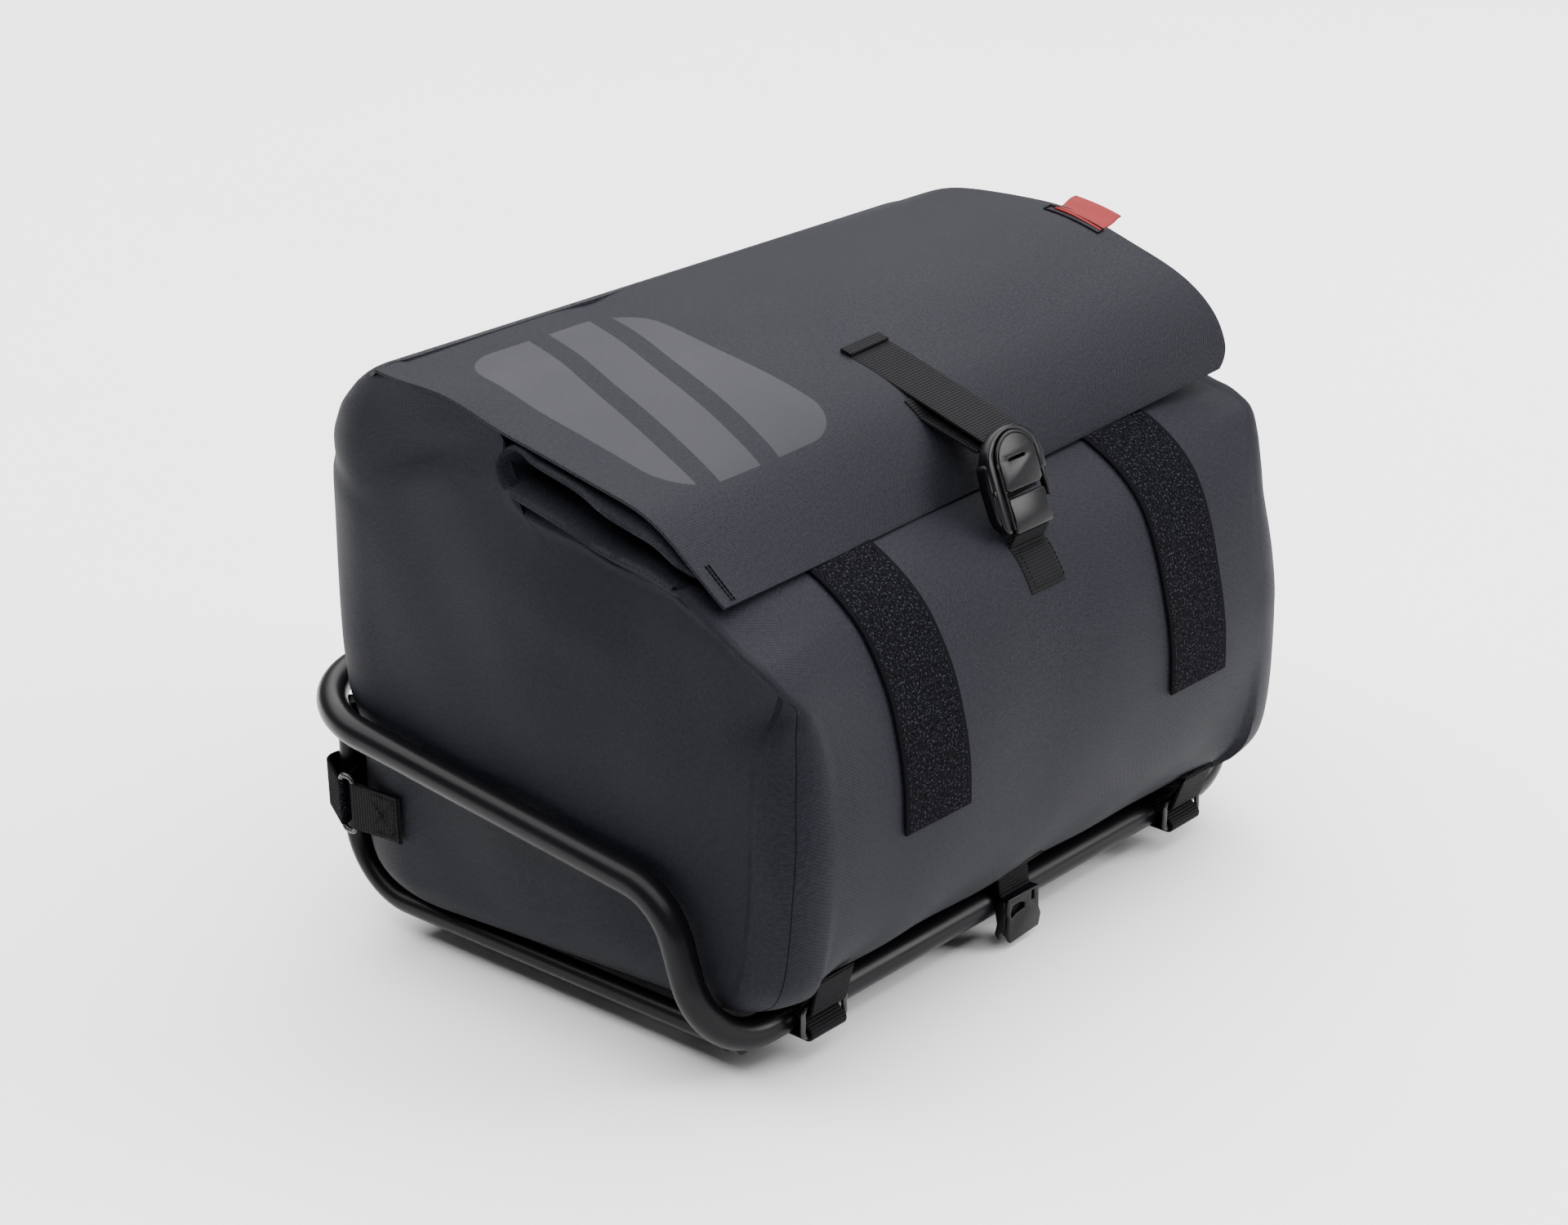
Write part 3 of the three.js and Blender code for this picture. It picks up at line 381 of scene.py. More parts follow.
class Socket:
    """A shader socket that takes part in Python expressions."""

    def __init__(self, recipe: "Recipe", socket: bpy.types.NodeSocket) -> None:
        """Wraps an output socket of a recipe's tree."""
        self.recipe = recipe
        self.socket = socket

    def _math(self, operation: str, *others: "Socket | float") -> "Socket":
        """Adds a Math node to which this socket and others lead."""
        inputs = {k: other for k, other in enumerate(others)}
        return self.recipe.node("ShaderNodeMath", {"operation": operation}, inputs)

    def __add__(self, other: "Socket | float") -> "Socket":
        """Sum."""
        return self._math("ADD", self, other)

    def __sub__(self, other: "Socket | float") -> "Socket":
        """Difference."""
        return self._math("SUBTRACT", self, other)

    def __rsub__(self, other: "Socket | float") -> "Socket":
        """Difference from a number."""
        return self._math("SUBTRACT", other, self)

    def __mul__(self, other: "Socket | float") -> "Socket":
        """Product."""
        return self._math("MULTIPLY", self, other)

    __radd__ = __add__
    __rmul__ = __mul__

    def __pow__(self, other: float) -> "Socket":
        """Power."""
        return self._math("POWER", self, other)

    def __abs__(self) -> "Socket":
        """Size without its sign."""
        return self._math("ABSOLUTE", self)

    def sine(self) -> "Socket":
        """Sine of an angle in radians."""
        return self._math("SINE", self)

    def larger(self, other: "Socket | float") -> "Socket":
        """The larger of two values."""
        return self._math("MAXIMUM", self, other)

    def ripples(self, pitch: float) -> "Socket":
        """Waves from 0 to 1, one for each pitch."""
        return (self * (FULL_TURN / pitch)).sine() * 0.5 + 0.5

    def step(self, low: float, high: float) -> "Socket":
        """0 below low, 1 above high and smooth between."""
        settings = {"interpolation_type": "SMOOTHSTEP"}
        return self.recipe.node("ShaderNodeMapRange", settings, {0: self, 1: low, 2: high, 3: 0.0, 4: 1.0})


class Recipe:
    """A material's nodes."""

    def __init__(self, name: str) -> None:
        """Starts a material with one surface shader."""
        self.material = bpy.data.materials.new(name)
        self.material.use_nodes = True
        self.tree = self.material.node_tree
        self.tree.nodes.clear()
        self.shader = self.tree.nodes.new("ShaderNodeBsdfPrincipled")
        output = self.tree.nodes.new("ShaderNodeOutputMaterial")
        self.tree.links.new(self.shader.outputs[0], output.inputs[0])

    def node(self, kind: str, settings: dict | None = None, inputs: dict | None = None,
             output: int | str = 0) -> Socket:
        """Adds a node.

        Args:
            kind: the node's type.
            settings: its properties.
            inputs: socket number or name, and a number, colour or Socket.
            output: the output socket that is handed back.

        Returns:
            The output socket.
        """
        made = self.tree.nodes.new(kind)
        for key, value in (settings or {}).items():
            setattr(made, key, value)
        for key, value in (inputs or {}).items():
            self.feed(made.inputs[key], value)
        return Socket(self, made.outputs[output])

    def feed(self, target: bpy.types.NodeSocket, value: "Socket | float | Sequence[float]") -> None:
        """Links or sets an input socket."""
        if isinstance(value, Socket):
            self.tree.links.new(value.socket, target)
        else:
            target.default_value = value

    def surface(self, **inputs: "Socket | float | Sequence[float]") -> Finish:
        """Sets the surface shader's sockets, named with _ for a space, and hands back the material."""
        for key, value in inputs.items():
            self.feed(self.shader.inputs[key.replace("_", " ")], value)
        return self.material

    def weave(self) -> tuple[Socket, Socket]:
        """Places on the flat cloth, across and along, in metres."""
        uv = self.node("ShaderNodeUVMap", {"uv_map": "weave"})
        return tuple(self.node("ShaderNodeSeparateXYZ", None, {0: uv}, axis) for axis in (0, 1))

    def flat(self, across: Socket, along: Socket) -> Socket:
        """A vector made of two places."""
        return self.node("ShaderNodeCombineXYZ", None, {0: across, 1: along})

    def body(self) -> Socket:
        """Object coordinates in metres."""
        return self.node("ShaderNodeTexCoord", None, None, "Object")

    def noise(self, vector: Socket, scale: float, detail: float = 2, roughness: float = 0.5) -> Socket:
        """Soft noise from 0 to 1, its scale in cells a metre."""
        inputs = {"Vector": vector, "Scale": scale, "Detail": detail, "Roughness": roughness}
        return self.node("ShaderNodeTexNoise", None, inputs)

    def colours(self, factor: Socket, first: Sequence[float], second: Sequence[float]) -> Socket:
        """Mixes two colours."""
        return self.blend(factor, (*first, 1), (*second, 1))

    def blend(self, factor: Socket, first: "Socket | Sequence[float]",
              second: "Socket | Sequence[float]") -> Socket:
        """Mixes two colours, either of which may be a link."""
        return self.node("ShaderNodeMix", {"data_type": "RGBA"}, {0: factor, 6: first, 7: second}, 2)

    def relief(self, height: Socket, depth: float, strength: float = 1) -> Socket:
        """A bump from a height, with its depth in metres."""
        return self.node("ShaderNodeBump", None, {"Strength": strength, "Distance": depth, "Height": height})


def tint(colour: Sequence[float], by: float) -> tuple[float, ...]:
    """A colour made darker or lighter."""
    return tuple(c * by for c in colour)


@dataclass(frozen=True)
class PrintPatch:
    """A plain pale print on the flap, on its flat cloth in metres."""

    across: float = -0.115
    along: float = 0.112
    half_across: float = 0.058
    half_along: float = 0.075
    corner: float = 0.026
    edge_blur: float = 0.0004
    gaps: tuple[float, float] = (-0.02, 0.021)
    half_gap: float = 0.0065
    gap_blur: float = 0.0003
    gap_slant: float = 0.25
    colour: tuple[float, float, float] = (0.0158, 0.0158, 0.02)

    def mask(self, recipe: Recipe, u: Socket, v: Socket) -> Socket:
        """1 on the print and 0 off it: a rounded block parted by two slanted gaps."""
        x, y = u - self.across, v - self.along
        reach_x = (abs(x) - (self.half_across - self.corner)).larger(0.0)
        reach_y = (abs(y) - (self.half_along - self.corner)).larger(0.0)
        reach = (reach_x * reach_x + reach_y * reach_y) ** 0.5
        shown = 1 - reach.step(self.corner - self.edge_blur, self.corner + self.edge_blur)
        line = x + y * self.gap_slant
        for gap in self.gaps:
            shown = shown * abs(line - gap).step(self.half_gap - self.gap_blur, self.half_gap + self.gap_blur)
        return shown


@dataclass(frozen=True)
class CoatedCloth:
    """Matte woven cloth with a thin coating."""

    name: str
    colour: tuple[float, float, float] = (0.0054, 0.0058, 0.0092)
    pitch: float = 0.0011
    roughness: float = 0.6
    patch: PrintPatch | None = None

    def build(self) -> Finish:
        """Makes the material."""
        recipe = Recipe(self.name)
        u, v = recipe.weave()
        place = recipe.flat(u, v)
        twill = (u + v * 0.6).ripples(self.pitch)
        weft = v.ripples(self.pitch / 0.9)
        grain = recipe.noise(place, 1100, 3, 0.7)
        mottle = recipe.noise(place, 560, 2, 0.6)
        broad = recipe.noise(place, 14, 3, 0.55)
        thread = twill * 0.55 + weft * 0.45
        shade = (thread * 0.3 + grain * 0.5 + mottle * 0.6 + broad * 0.1).step(0.5, 1.0)
        colour = recipe.colours(shade, tint(self.colour, 0.3), tint(self.colour, 1.8))
        rough = self.roughness + (broad - 0.5) * 0.12
        height = thread * 0.6 + grain * 0.4
        if self.patch is not None:
            mask = self.patch.mask(recipe, u, v)
            ink = recipe.colours(grain, tint(self.patch.colour, 0.93), tint(self.patch.colour, 1.07))
            colour = recipe.blend(mask, colour, ink)
            height = height * (1 - mask * 0.8)
            rough = rough - mask * 0.12
        return recipe.surface(Base_Color=colour, Roughness=rough, Normal=recipe.relief(height, 0.0003, 0.8),
                              Specular_IOR_Level=0.11)


@dataclass(frozen=True)
class LoopPile:
    """The soft half of hook-and-loop tape, with a plain woven selvedge."""

    name: str
    half_width: float
    selvedge: float = 0.0024
    ground: tuple[float, float, float] = (0.0015, 0.0015, 0.002)
    pale_ground: tuple[float, float, float] = (0.004, 0.004, 0.0055)
    pile: tuple[float, float, float] = (0.0006, 0.0006, 0.001)
    pale_pile: tuple[float, float, float] = (0.005, 0.005, 0.0072)
    speck: tuple[float, float, float] = (0.03, 0.03, 0.038)

    def build(self) -> Finish:
        """Makes the material."""
        recipe = Recipe(self.name)
        u, v = recipe.weave()
        place = recipe.flat(u, v)
        border = self.half_width - self.selvedge
        pile = 1 - abs(u).step(border - 0.0005, border + 0.0003)
        tufts = recipe.noise(place, 520, 5, 0.75)
        specks = recipe.noise(place, 800, 2, 0.5).step(0.54, 0.72) * pile
        ribs = v.ripples(0.0012)
        ground = recipe.colours(ribs, self.ground, self.pale_ground)
        loops = recipe.colours(tufts.step(0.35, 0.7), self.pile, self.pale_pile)
        colour = recipe.blend(specks, recipe.blend(pile, ground, loops), (*self.speck, 1))
        height = tufts * pile + ribs * 0.15 * (1 - pile)
        return recipe.surface(Base_Color=colour, Roughness=0.95, Normal=recipe.relief(height, 0.0012, 0.7),
                              Specular_IOR_Level=0.04)


@dataclass(frozen=True)
class Webbing:
    """Narrow woven band with ribs across it."""

    name: str
    rib: float = 0.00175
    colour: tuple[float, float, float] = (0.0028, 0.0028, 0.0036)

    def build(self) -> Finish:
        """Makes the material."""
        recipe = Recipe(self.name)
        u, v = recipe.weave()
        ribs = abs((v * (math.pi / self.rib)).sine())
        warp = abs((u * (math.pi / (self.rib * 1.25)) + v * 40).sine())
        fuzz = recipe.noise(recipe.flat(u, v), 1600, 2, 0.6)
        height = ribs * 0.7 + warp * 0.3 * ribs
        shade = (height * 0.75 + fuzz * 0.3).step(0.15, 0.95)
        colour = recipe.colours(shade, tint(self.colour, 0.25), tint(self.colour, 1.7))
        return recipe.surface(Base_Color=colour, Roughness=0.72, Normal=recipe.relief(height, 0.0006, 0.8),
                              Specular_IOR_Level=0.1)


@dataclass(frozen=True)
class HardCoat:
    """Painted metal or moulded plastic with a fine even grain."""

    name: str
    colour: tuple[float, float, float]
    roughness: float
    grain: float
    specular: float
    depth: float = 0.00004

    def build(self) -> Finish:
        """Makes the material."""
        recipe = Recipe(self.name)
        place = recipe.body()
        grain = recipe.noise(place, self.grain, 2, 0.5)
        broad = recipe.noise(place, 22, 2, 0.5)
        colour = recipe.colours(broad, tint(self.colour, 0.85), tint(self.colour, 1.18))
        rough = self.roughness + (broad - 0.5) * 0.1 + (grain - 0.5) * 0.06
        return recipe.surface(Base_Color=colour, Roughness=rough,
                              Normal=recipe.relief(grain, self.depth, 0.5), Specular_IOR_Level=self.specular)


@dataclass(frozen=True)
class LabelCloth:
    """Plain satin-woven label."""

    name: str
    colour: tuple[float, float, float] = (0.18, 0.001, 0.002)

    def build(self) -> Finish:
        """Makes the material."""
        recipe = Recipe(self.name)
        u, v = recipe.weave()
        lines = v.ripples(0.0007)
        grain = recipe.noise(recipe.flat(u, v), 900, 2, 0.5)
        colour = recipe.colours(lines * 0.4 + grain * 0.6, tint(self.colour, 0.8), self.colour)
        return recipe.surface(Base_Color=colour, Roughness=0.6, Normal=recipe.relief(lines, 0.0001, 0.4),
                              Specular_IOR_Level=0.2)


class Finishes:
    """All the object's finishes, each made once."""

    def __init__(self) -> None:
        """Builds the materials."""
        self.cloth = CoatedCloth("charcoal_cloth").build()
        self.flap_cloth = CoatedCloth("charcoal_cloth_printed", patch=PrintPatch()).build()
        self.strip = LoopPile("wide_loop_tape", 0.024).build()
        self.tape = LoopPile("narrow_loop_tape", 0.0125, 0.0015).build()
        self.webbing = Webbing("black_webbing").build()
        self.tube = HardCoat("black_powder_coat", (0.003, 0.003, 0.004), 0.32, 900, 0.13).build()
        self.plastic = HardCoat("black_moulded_plastic", (0.0022, 0.0022, 0.003), 0.3, 2600, 0.16).build()
        self.wire = HardCoat("painted_ring_wire", (0.006, 0.006, 0.007), 0.3, 1500, 0.5).build()
        self.label = LabelCloth("red_label").build()
        self.thread = HardCoat("black_thread", (0.001, 0.001, 0.0015), 0.8, 3000, 0.1).build()


def dress(piece: Piece, material: Finish, slot: Slot, *nodes: str) -> Piece:
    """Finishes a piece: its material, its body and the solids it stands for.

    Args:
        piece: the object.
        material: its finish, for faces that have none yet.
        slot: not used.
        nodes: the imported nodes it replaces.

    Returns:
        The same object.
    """
    if not piece.data.materials:
        piece.data.materials.append(material)
    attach(piece, "root")
    if nodes:
        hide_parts(*nodes)
    log.info("%s: %d faces", piece.name, len(piece.data.polygons))
    return piece


# Geometry node trees


class NodeTool:
    """A geometry node tree with named inputs that makes what repeats or follows a path."""

    def __init__(self, name: str, inputs: dict[str, tuple[str, float | int | None]]) -> None:
        """Opens the tree.

        Args:
            name: the tree's name.
            inputs: for each input its socket type and default.
        """
        self.tree = bpy.data.node_groups.new(name, "GeometryNodeTree")
        self.sockets: dict[str, bpy.types.NodeTreeInterfaceSocket] = {}
        self.tree.interface.new_socket(name="Geometry", in_out="INPUT", socket_type="NodeSocketGeometry")
        for key, (kind, default) in inputs.items():
            self.sockets[key] = self.tree.interface.new_socket(name=key, in_out="INPUT", socket_type=kind)
            if default is not None:
                self.sockets[key].default_value = default
        self.tree.interface.new_socket(name="Geometry", in_out="OUTPUT", socket_type="NodeSocketGeometry")
        self.start = self.tree.nodes.new("NodeGroupInput")
        self.end = self.tree.nodes.new("NodeGroupOutput")

    def node(self, kind: str, settings: dict | None = None, inputs: dict | None = None) -> bpy.types.Node:
        """Adds a node with its settings and its links or values."""
        made = self.tree.nodes.new(kind)
        for key, value in (settings or {}).items():
            setattr(made, key, value)
        for key, value in (inputs or {}).items():
            if isinstance(value, bpy.types.NodeSocket):
                self.tree.links.new(value, made.inputs[key])
            else:
                made.inputs[key].default_value = value
        return made

    def finish(self, geometry: bpy.types.NodeSocket) -> None:
        """Ends the tree in real, dressed faces."""
        real = self.node("GeometryNodeRealizeInstances", None, {"Geometry": geometry})
        dressed = self.node("GeometryNodeSetMaterial", None,
                            {"Geometry": real.outputs[0], "Material": self.start.outputs["Material"]})
        self.tree.links.new(dressed.outputs[0], self.end.inputs[0])

    def run(self, name: str, path: np.ndarray, closed: bool, material: Finish,
            **values: float | int) -> Piece:
        """Runs the tree on a path and hands back a plain mesh.

        Args:
            name: the piece's name.
            path: points in the tray's millimetres.
            closed: whether the path joins its start.
            material: the finish.
            values: the other inputs, by name.

        Returns:
            The object.
        """
        mesh = bpy.data.meshes.new(name)
        count = len(path)
        edges = [(k, (k + 1) % count) for k in range(count if closed else count - 1)]
        mesh.from_pydata((path * MM + TRAY_ORIGIN).tolist(), edges, [])
        piece = link(name, mesh)
        modifier = piece.modifiers.new("tool", "NODES")
        modifier.node_group = self.tree
        for key, value in {**values, "Material": material}.items():
            modifier[self.sockets[key].identifier] = value
        return bake(piece, None)


class RodTool(NodeTool):
    """Sweeps a round section along a path: the tray's tubes, the wire rings and the seam lines."""

    def __init__(self) -> None:
        """Builds the tree."""
        super().__init__("rod_along_path", {
            "Diameter": ("NodeSocketFloat", 0.01),
            "Sides": ("NodeSocketInt", 24),
            "Material": ("NodeSocketMaterial", None)})
        given = self.start.outputs
        half = self.node("ShaderNodeMath", {"operation": "MULTIPLY"}, {0: given["Diameter"], 1: 0.5})
        line = self.node("GeometryNodeMeshToCurve", None, {"Mesh": given["Geometry"]})
        ring = self.node("GeometryNodeCurvePrimitiveCircle", {"mode": "RADIUS"},
                         {"Resolution": given["Sides"], "Radius": half.outputs[0]})
        rod = self.node("GeometryNodeCurveToMesh", None,
                        {"Curve": line.outputs[0], "Profile Curve": ring.outputs[0], "Fill Caps": True})
        self.finish(rod.outputs[0])

    def rod(self, name: str, path: np.ndarray, diameter: float, sides: int, material: Finish,
            closed: bool = False) -> Piece:
        """Sweeps a rod, its diameter in millimetres, along a path."""
        return self.run(name, path, closed, material, Diameter=diameter * MM, Sides=sides)


class StitchTool(NodeTool):
    """Sets a row of thread stitches along a path."""

    def __init__(self) -> None:
        """Builds the tree."""
        super().__init__("stitch_row", {
            "Pitch": ("NodeSocketFloat", 0.003),
            "Length": ("NodeSocketFloat", 0.0022),
            "Thread": ("NodeSocketFloat", 0.0007),
            "Seed": ("NodeSocketInt", 7),
            "Material": ("NodeSocketMaterial", None)})
        given = self.start.outputs
        line = self.node("GeometryNodeMeshToCurve", None, {"Mesh": given["Geometry"]})
        spaced = self.node("GeometryNodeResampleCurve", {"mode": "LENGTH"},
                           {"Curve": line.outputs[0], "Length": given["Pitch"]})
        bead = self.node("GeometryNodeMeshUVSphere", None, {"Segments": 8, "Rings": 6, "Radius": 0.5})
        size = self.node("ShaderNodeCombineXYZ", None,
                         {0: given["Thread"], 1: given["Thread"], 2: given["Length"]})
        tangent = self.node("GeometryNodeInputTangent")
        turned = self.node("FunctionNodeAlignRotationToVector", {"axis": "Z"}, {"Vector": tangent.outputs[0]})
        vary = self.node("FunctionNodeRandomValue", {"data_type": "FLOAT"},
                         {2: 0.88, 3: 1.06, "Seed": given["Seed"]})
        scaled = self.node("ShaderNodeVectorMath", {"operation": "SCALE"},
                           {0: size.outputs[0], "Scale": vary.outputs[1]})
        rows = self.node("GeometryNodeInstanceOnPoints", None, {
            "Points": spaced.outputs[0], "Instance": bead.outputs[0],
            "Rotation": turned.outputs[0], "Scale": scaled.outputs[0]})
        self.finish(rows.outputs[0])

    def sew(self, name: str, path: np.ndarray, sizes: tuple[float, float, float], seed: int,
            material: Finish, closed: bool = False) -> Piece:
        """Sews along a path; the sizes are pitch, stitch length and thread in millimetres."""
        pitch, length, thread = (size * MM for size in sizes)
        return self.run(name, path, closed, material, Pitch=pitch, Length=length, Thread=thread, Seed=seed)


# The bag


@dataclass
class BagBody:
    """The bag's cloth body: floor, walls and the mouth below the flap, in the tray's millimetres."""

    floor: float = 12.6
    half: float = 204.6
    puff: float = 1.4
    tuck_height: float = 102.0
    tuck_run: float = 76.0
    wall: float = 2.0
    ridge: float = 300.6
    side_rear: float = 52.0
    lean: float = 9.0
    rear_lean: float = 2.5
    corner_steps: int = 18
    front_steps: int = 96
    side_steps: int = 84
    rear_steps: int = 60
    centre_front: Profile = curve(Profile, [
        (114, -193.5), (125, -193.4), (140, -192), (155, -189), (170, -185), (185, -179), (200, -170.5),
        (210, -161), (218, -150), (224, -139), (230, -126), (240, -108), (255, -92), (320, -60)])
    left_front: Profile = curve(Profile, [
        *LOWER_FRONT,
        (114, -193.5), (140, -192.6), (170, -190.5), (186, -188.5), (197, -186), (203, -182.5),
        (208, -177.5), (216, -162), (226, -146), (232, -134), (240, -119), (255, -98), (320, -60)])
    right_front: Profile = curve(Profile, [
        *LOWER_FRONT,
        (124, -193.5), (151, -190), (169, -185.8), (195, -177), (212, -168.4), (222, -161), (226, -153.5),
        (229, -146), (233, -130), (240, -115), (255, -98), (320, -60)])
    left_radius: Profile = curve(Profile, [
        (12, 24), (35, 26), (60, 27), (124, 27), (150, 26), (170, 22), (186, 14), (197, 7), (207, 4.5),
        (226, 4)])
    right_radius: Profile = curve(Profile, [
        (12, 30), (35, 34), (60, 36), (90, 38), (124, 39), (169, 36), (195, 27), (212, 19), (222, 13),
        (229, 9), (236, 7)])
    rear_line: Profile = curve(Profile, [
        (12, 134), (235, 134), (255, 128), (270, 117), (279, 106.5), (288, 94.5), (298, 75), (301, 64),
        (320, 50)])
    rear_radius: Profile = curve(Profile, [
        (12, 64), (98, 64), (124, 51), (240, 51), (262, 42), (279, 29), (299, 18), (320, 17)])
    shoulder: Profile = curve(Profile, [
        (-1, 5), (-0.5, 0.6), (0, -1.4), (0.24, 0.6), (0.42, 3), (0.52, 5), (0.62, 7), (0.8, 8.5), (1, 7)])
    left_mouth: Profile = curve(Profile, [
        (-118, 235), (-107, 237), (-85, 239.5), (-62, 246), (-36, 252), (-22, 257), (-18, 262),
        (-14, 281.2), (-9, 285.3), (0, 288.4), (20, 293.8), (50, 297.4)])
    right_mouth: Profile = curve(Profile, [
        (-118, 238), (-107, 243), (-85, 250), (-62, 258), (-36, 265), (-22, 272), (-18, 280), (-14, 307),
        (-9, 309.2), (0, 309.8), (20, 308.6), (46, 305.6), (52, 303.8)])
    front_mouth: Profile = curve(Profile, [
        (-1, 235), (-0.5, 233), (0, 234), (0.5, 241), (0.8, 240), (1, 235)])
    crease: Profile = curve(Profile, [
        (-189, 196), (-180, 206), (-161, 217), (-143, 226), (-107, 239), (-85, 241), (-62, 247), (-36, 253),
        (-16, 262)])

    def tuck(self, z: np.ndarray, run: Number, height: Number) -> np.ndarray:
        """How far a rounded lower edge is tucked in at height z."""
        fall = np.clip((self.floor + height - z) / height, 0, 1)
        return run * (1 - np.sqrt(np.clip(1 - fall * fall, 0, 1)))

    def front_at(self, z: np.ndarray, a: np.ndarray) -> np.ndarray:
        """The front's place at height z and share a across."""
        rise = self.shoulder(a) * ease(130, 200, z)
        lifted = z - rise
        middle = self.centre_front(lifted) + self.tuck(z, self.tuck_run, self.tuck_height)
        edge = np.where(a < 0, self.left_front(z), self.right_front(z))
        return mix(middle, edge, ease(0.62, 1.0, np.abs(a)))

    def half_at(self, z: np.ndarray, rear: bool) -> np.ndarray:
        """Half the bag's width at height z, at its front or its rear."""
        size = 20 if rear else 38
        lean = self.rear_lean if rear else self.lean
        return self.half + self.puff * ease(118, 150, z) - lean * ease(248, 290, z) - self.tuck(z, size, size)

    def corner(self, k: int, angle: Number, z: np.ndarray) -> np.ndarray:
        """A point of one of the four upright corners."""
        sx = (-1, 1, 1, -1)[k]
        front = k < 2
        turn = np.radians(angle)
        half = self.half_at(z, not front)
        if front:
            radius = self.left_radius(z) if sx < 0 else self.right_radius(z)
            y = self.front_at(z, np.full_like(z, float(sx))) + radius
        else:
            radius = self.rear_radius(z) + 0 * z
            y = self.rear_line(z) - self.tuck(z, 30, 30) - radius
        return np.stack([sx * (half - radius) + radius * np.cos(turn), y + radius * np.sin(turn), z], -1)

    def stations(self) -> list[tuple[int, float, float]]:
        """Corner number, angle, and share of the run behind it, going round from the left front corner."""
        found = []
        runs = (self.front_steps, self.side_steps, self.rear_steps, self.side_steps)
        for k in range(4):
            start = CORNER_START[k]
            found += [(k, start + 90 * i / self.corner_steps, -1.0) for i in range(self.corner_steps + 1)]
            found += [(k, start + 90.0, (i + 1) / runs[k]) for i in range(runs[k] - 1)]
        return found

    def point(self, station: tuple[int, float, float], z: np.ndarray) -> np.ndarray:
        """The points of one station at heights z."""
        k, angle, share = station
        start = self.corner(k, angle, z)
        if share < 0:
            return start
        after = (k + 1) % 4
        p = mix(start, self.corner(after, CORNER_START[after], z), share)
        if k == 0:
            p[..., 1] = self.front_at(z, p[..., 0] / self.half)
        return p

    def mouth(self, station: tuple[int, float, float]) -> float:
        """Height of the mouth's edge at a station."""
        k, angle, share = station
        side = self.right_mouth if k in (1, 2) else self.left_mouth
        if share < 0:
            turn = (angle - CORNER_START[k]) / 90
            if k == 0:
                return float(mix(self.left_mouth(-118), self.front_mouth(-1), turn))
            if k == 1:
                return float(mix(self.front_mouth(1), self.right_mouth(-118), turn))
            near = turn if k == 2 else 1 - turn
            return float(mix(side(self.side_rear), self.ridge, near**2))
        if k == 0:
            return float(self.front_mouth(2 * share - 1))
        if k == 2:
            return self.ridge
        z = 275.0
        for _ in range(6):
            z = float(mix(z, side(self.point(station, np.array(z))[1]), 0.7))
        return z

    def dents(self, p: np.ndarray) -> np.ndarray:
        """Moves points for the dents and soft folds of slack cloth."""
        x, y, z = p[..., 0], p[..., 1], p[..., 2]
        left = ease(150, 200, -x)
        right = ease(150, 200, x)
        sides = left + right
        below = self.crease(y) - z
        depth = 11.0 * ease(0, 16, below) * (1 - ease(20, 112, below))
        hollow = depth * ease(-198, -174, y) * (1 - ease(-95, -30, y))
        hollow += 5.0 * ease(0, 13, below) * (1 - ease(16, 60, below)) * bump(-52, 34, y)
        hollow += 2.5 * bump(75, 34, below) * bump(-60, 45, y)
        behind, over = y - 34, z - 262
        hollow += 3.0 * bump(0, 7, behind * 0.35 + over * 0.94) * bump(0, 30, behind * 0.94 - over * 0.35)
        upper = 2.4 * bump(276, 9, z + y * 0.25) * bump(34, 22, y)
        hollow += 1.5 * bump(242, 7, z - (y - 110) * 0.3) * ease(60, 112, y) + upper
        behind, over = y + 176, z - 184
        corner = 5.0 * bump(0, 8, behind * 0.6 + over * 0.8) * bump(0, 20, behind * 0.8 - over * 0.6)
        low = 1.2 * bump(60, 26, z) * np.sin(y / 26.0)
        waves = 0.5 * np.sin(y / 19.0 + z / 31.0) + 0.4 * np.sin(y / 11.0 - z / 23.0 + 1.3)
        inward = (hollow + corner) * (left + 0.2 * right) + (low + waves * ease(20, 60, z)) * sides
        x = x - np.sign(x) * inward
        frontal = ease(-120, -150, y) * ease(205, 150, np.abs(x))
        ripple = 0.7 * np.sin(x / 31.0 + z / 47.0) + 0.5 * np.sin(x / 17.0 - z / 29.0 + 0.7)
        pucker = 1.1 * np.sin(x / 13.0 + 0.4) * bump(38, 16, z)
        y = y + (ripple * 0.7 + pucker) * frontal
        rearward = ease(110, 128, y) * ease(200, 150, np.abs(x))
        y = y + 0.9 * np.sin(x / 37.0 + z / 41.0) * rearward * ease(30, 70, z)
        return np.stack([x, y, z], -1)

    def heights(self, top: float) -> np.ndarray:
        """Heights of the rings from the floor to the mouth."""
        low = self.floor + 38 * (1 - np.cos(np.linspace(0, math.pi / 2, 20)))
        middle = np.linspace(low[-1], 150, 30)[1:]
        upper = np.linspace(150, 196, 18)[1:]
        return np.concatenate([low, middle, upper, np.linspace(196, top, 52)[1:]])

    def surface(self) -> np.ndarray:
        """The body's outer skin as rings of points, from the floor to the mouth."""
        columns = []
        for station in self.stations():
            top = self.mouth(station)
            column = self.point(station, self.heights(top))
            if station[0] in (1, 3):
                folded = 1 - ease(-21, -14, column[-1, 1])
                tucked = 5.5 * folded * ease(-9, -1, column[:, 2] - top)
                column[:, 0] -= np.sign(column[:, 0]) * tucked
            columns.append(column)
        return self.dents(np.stack(columns, 1))

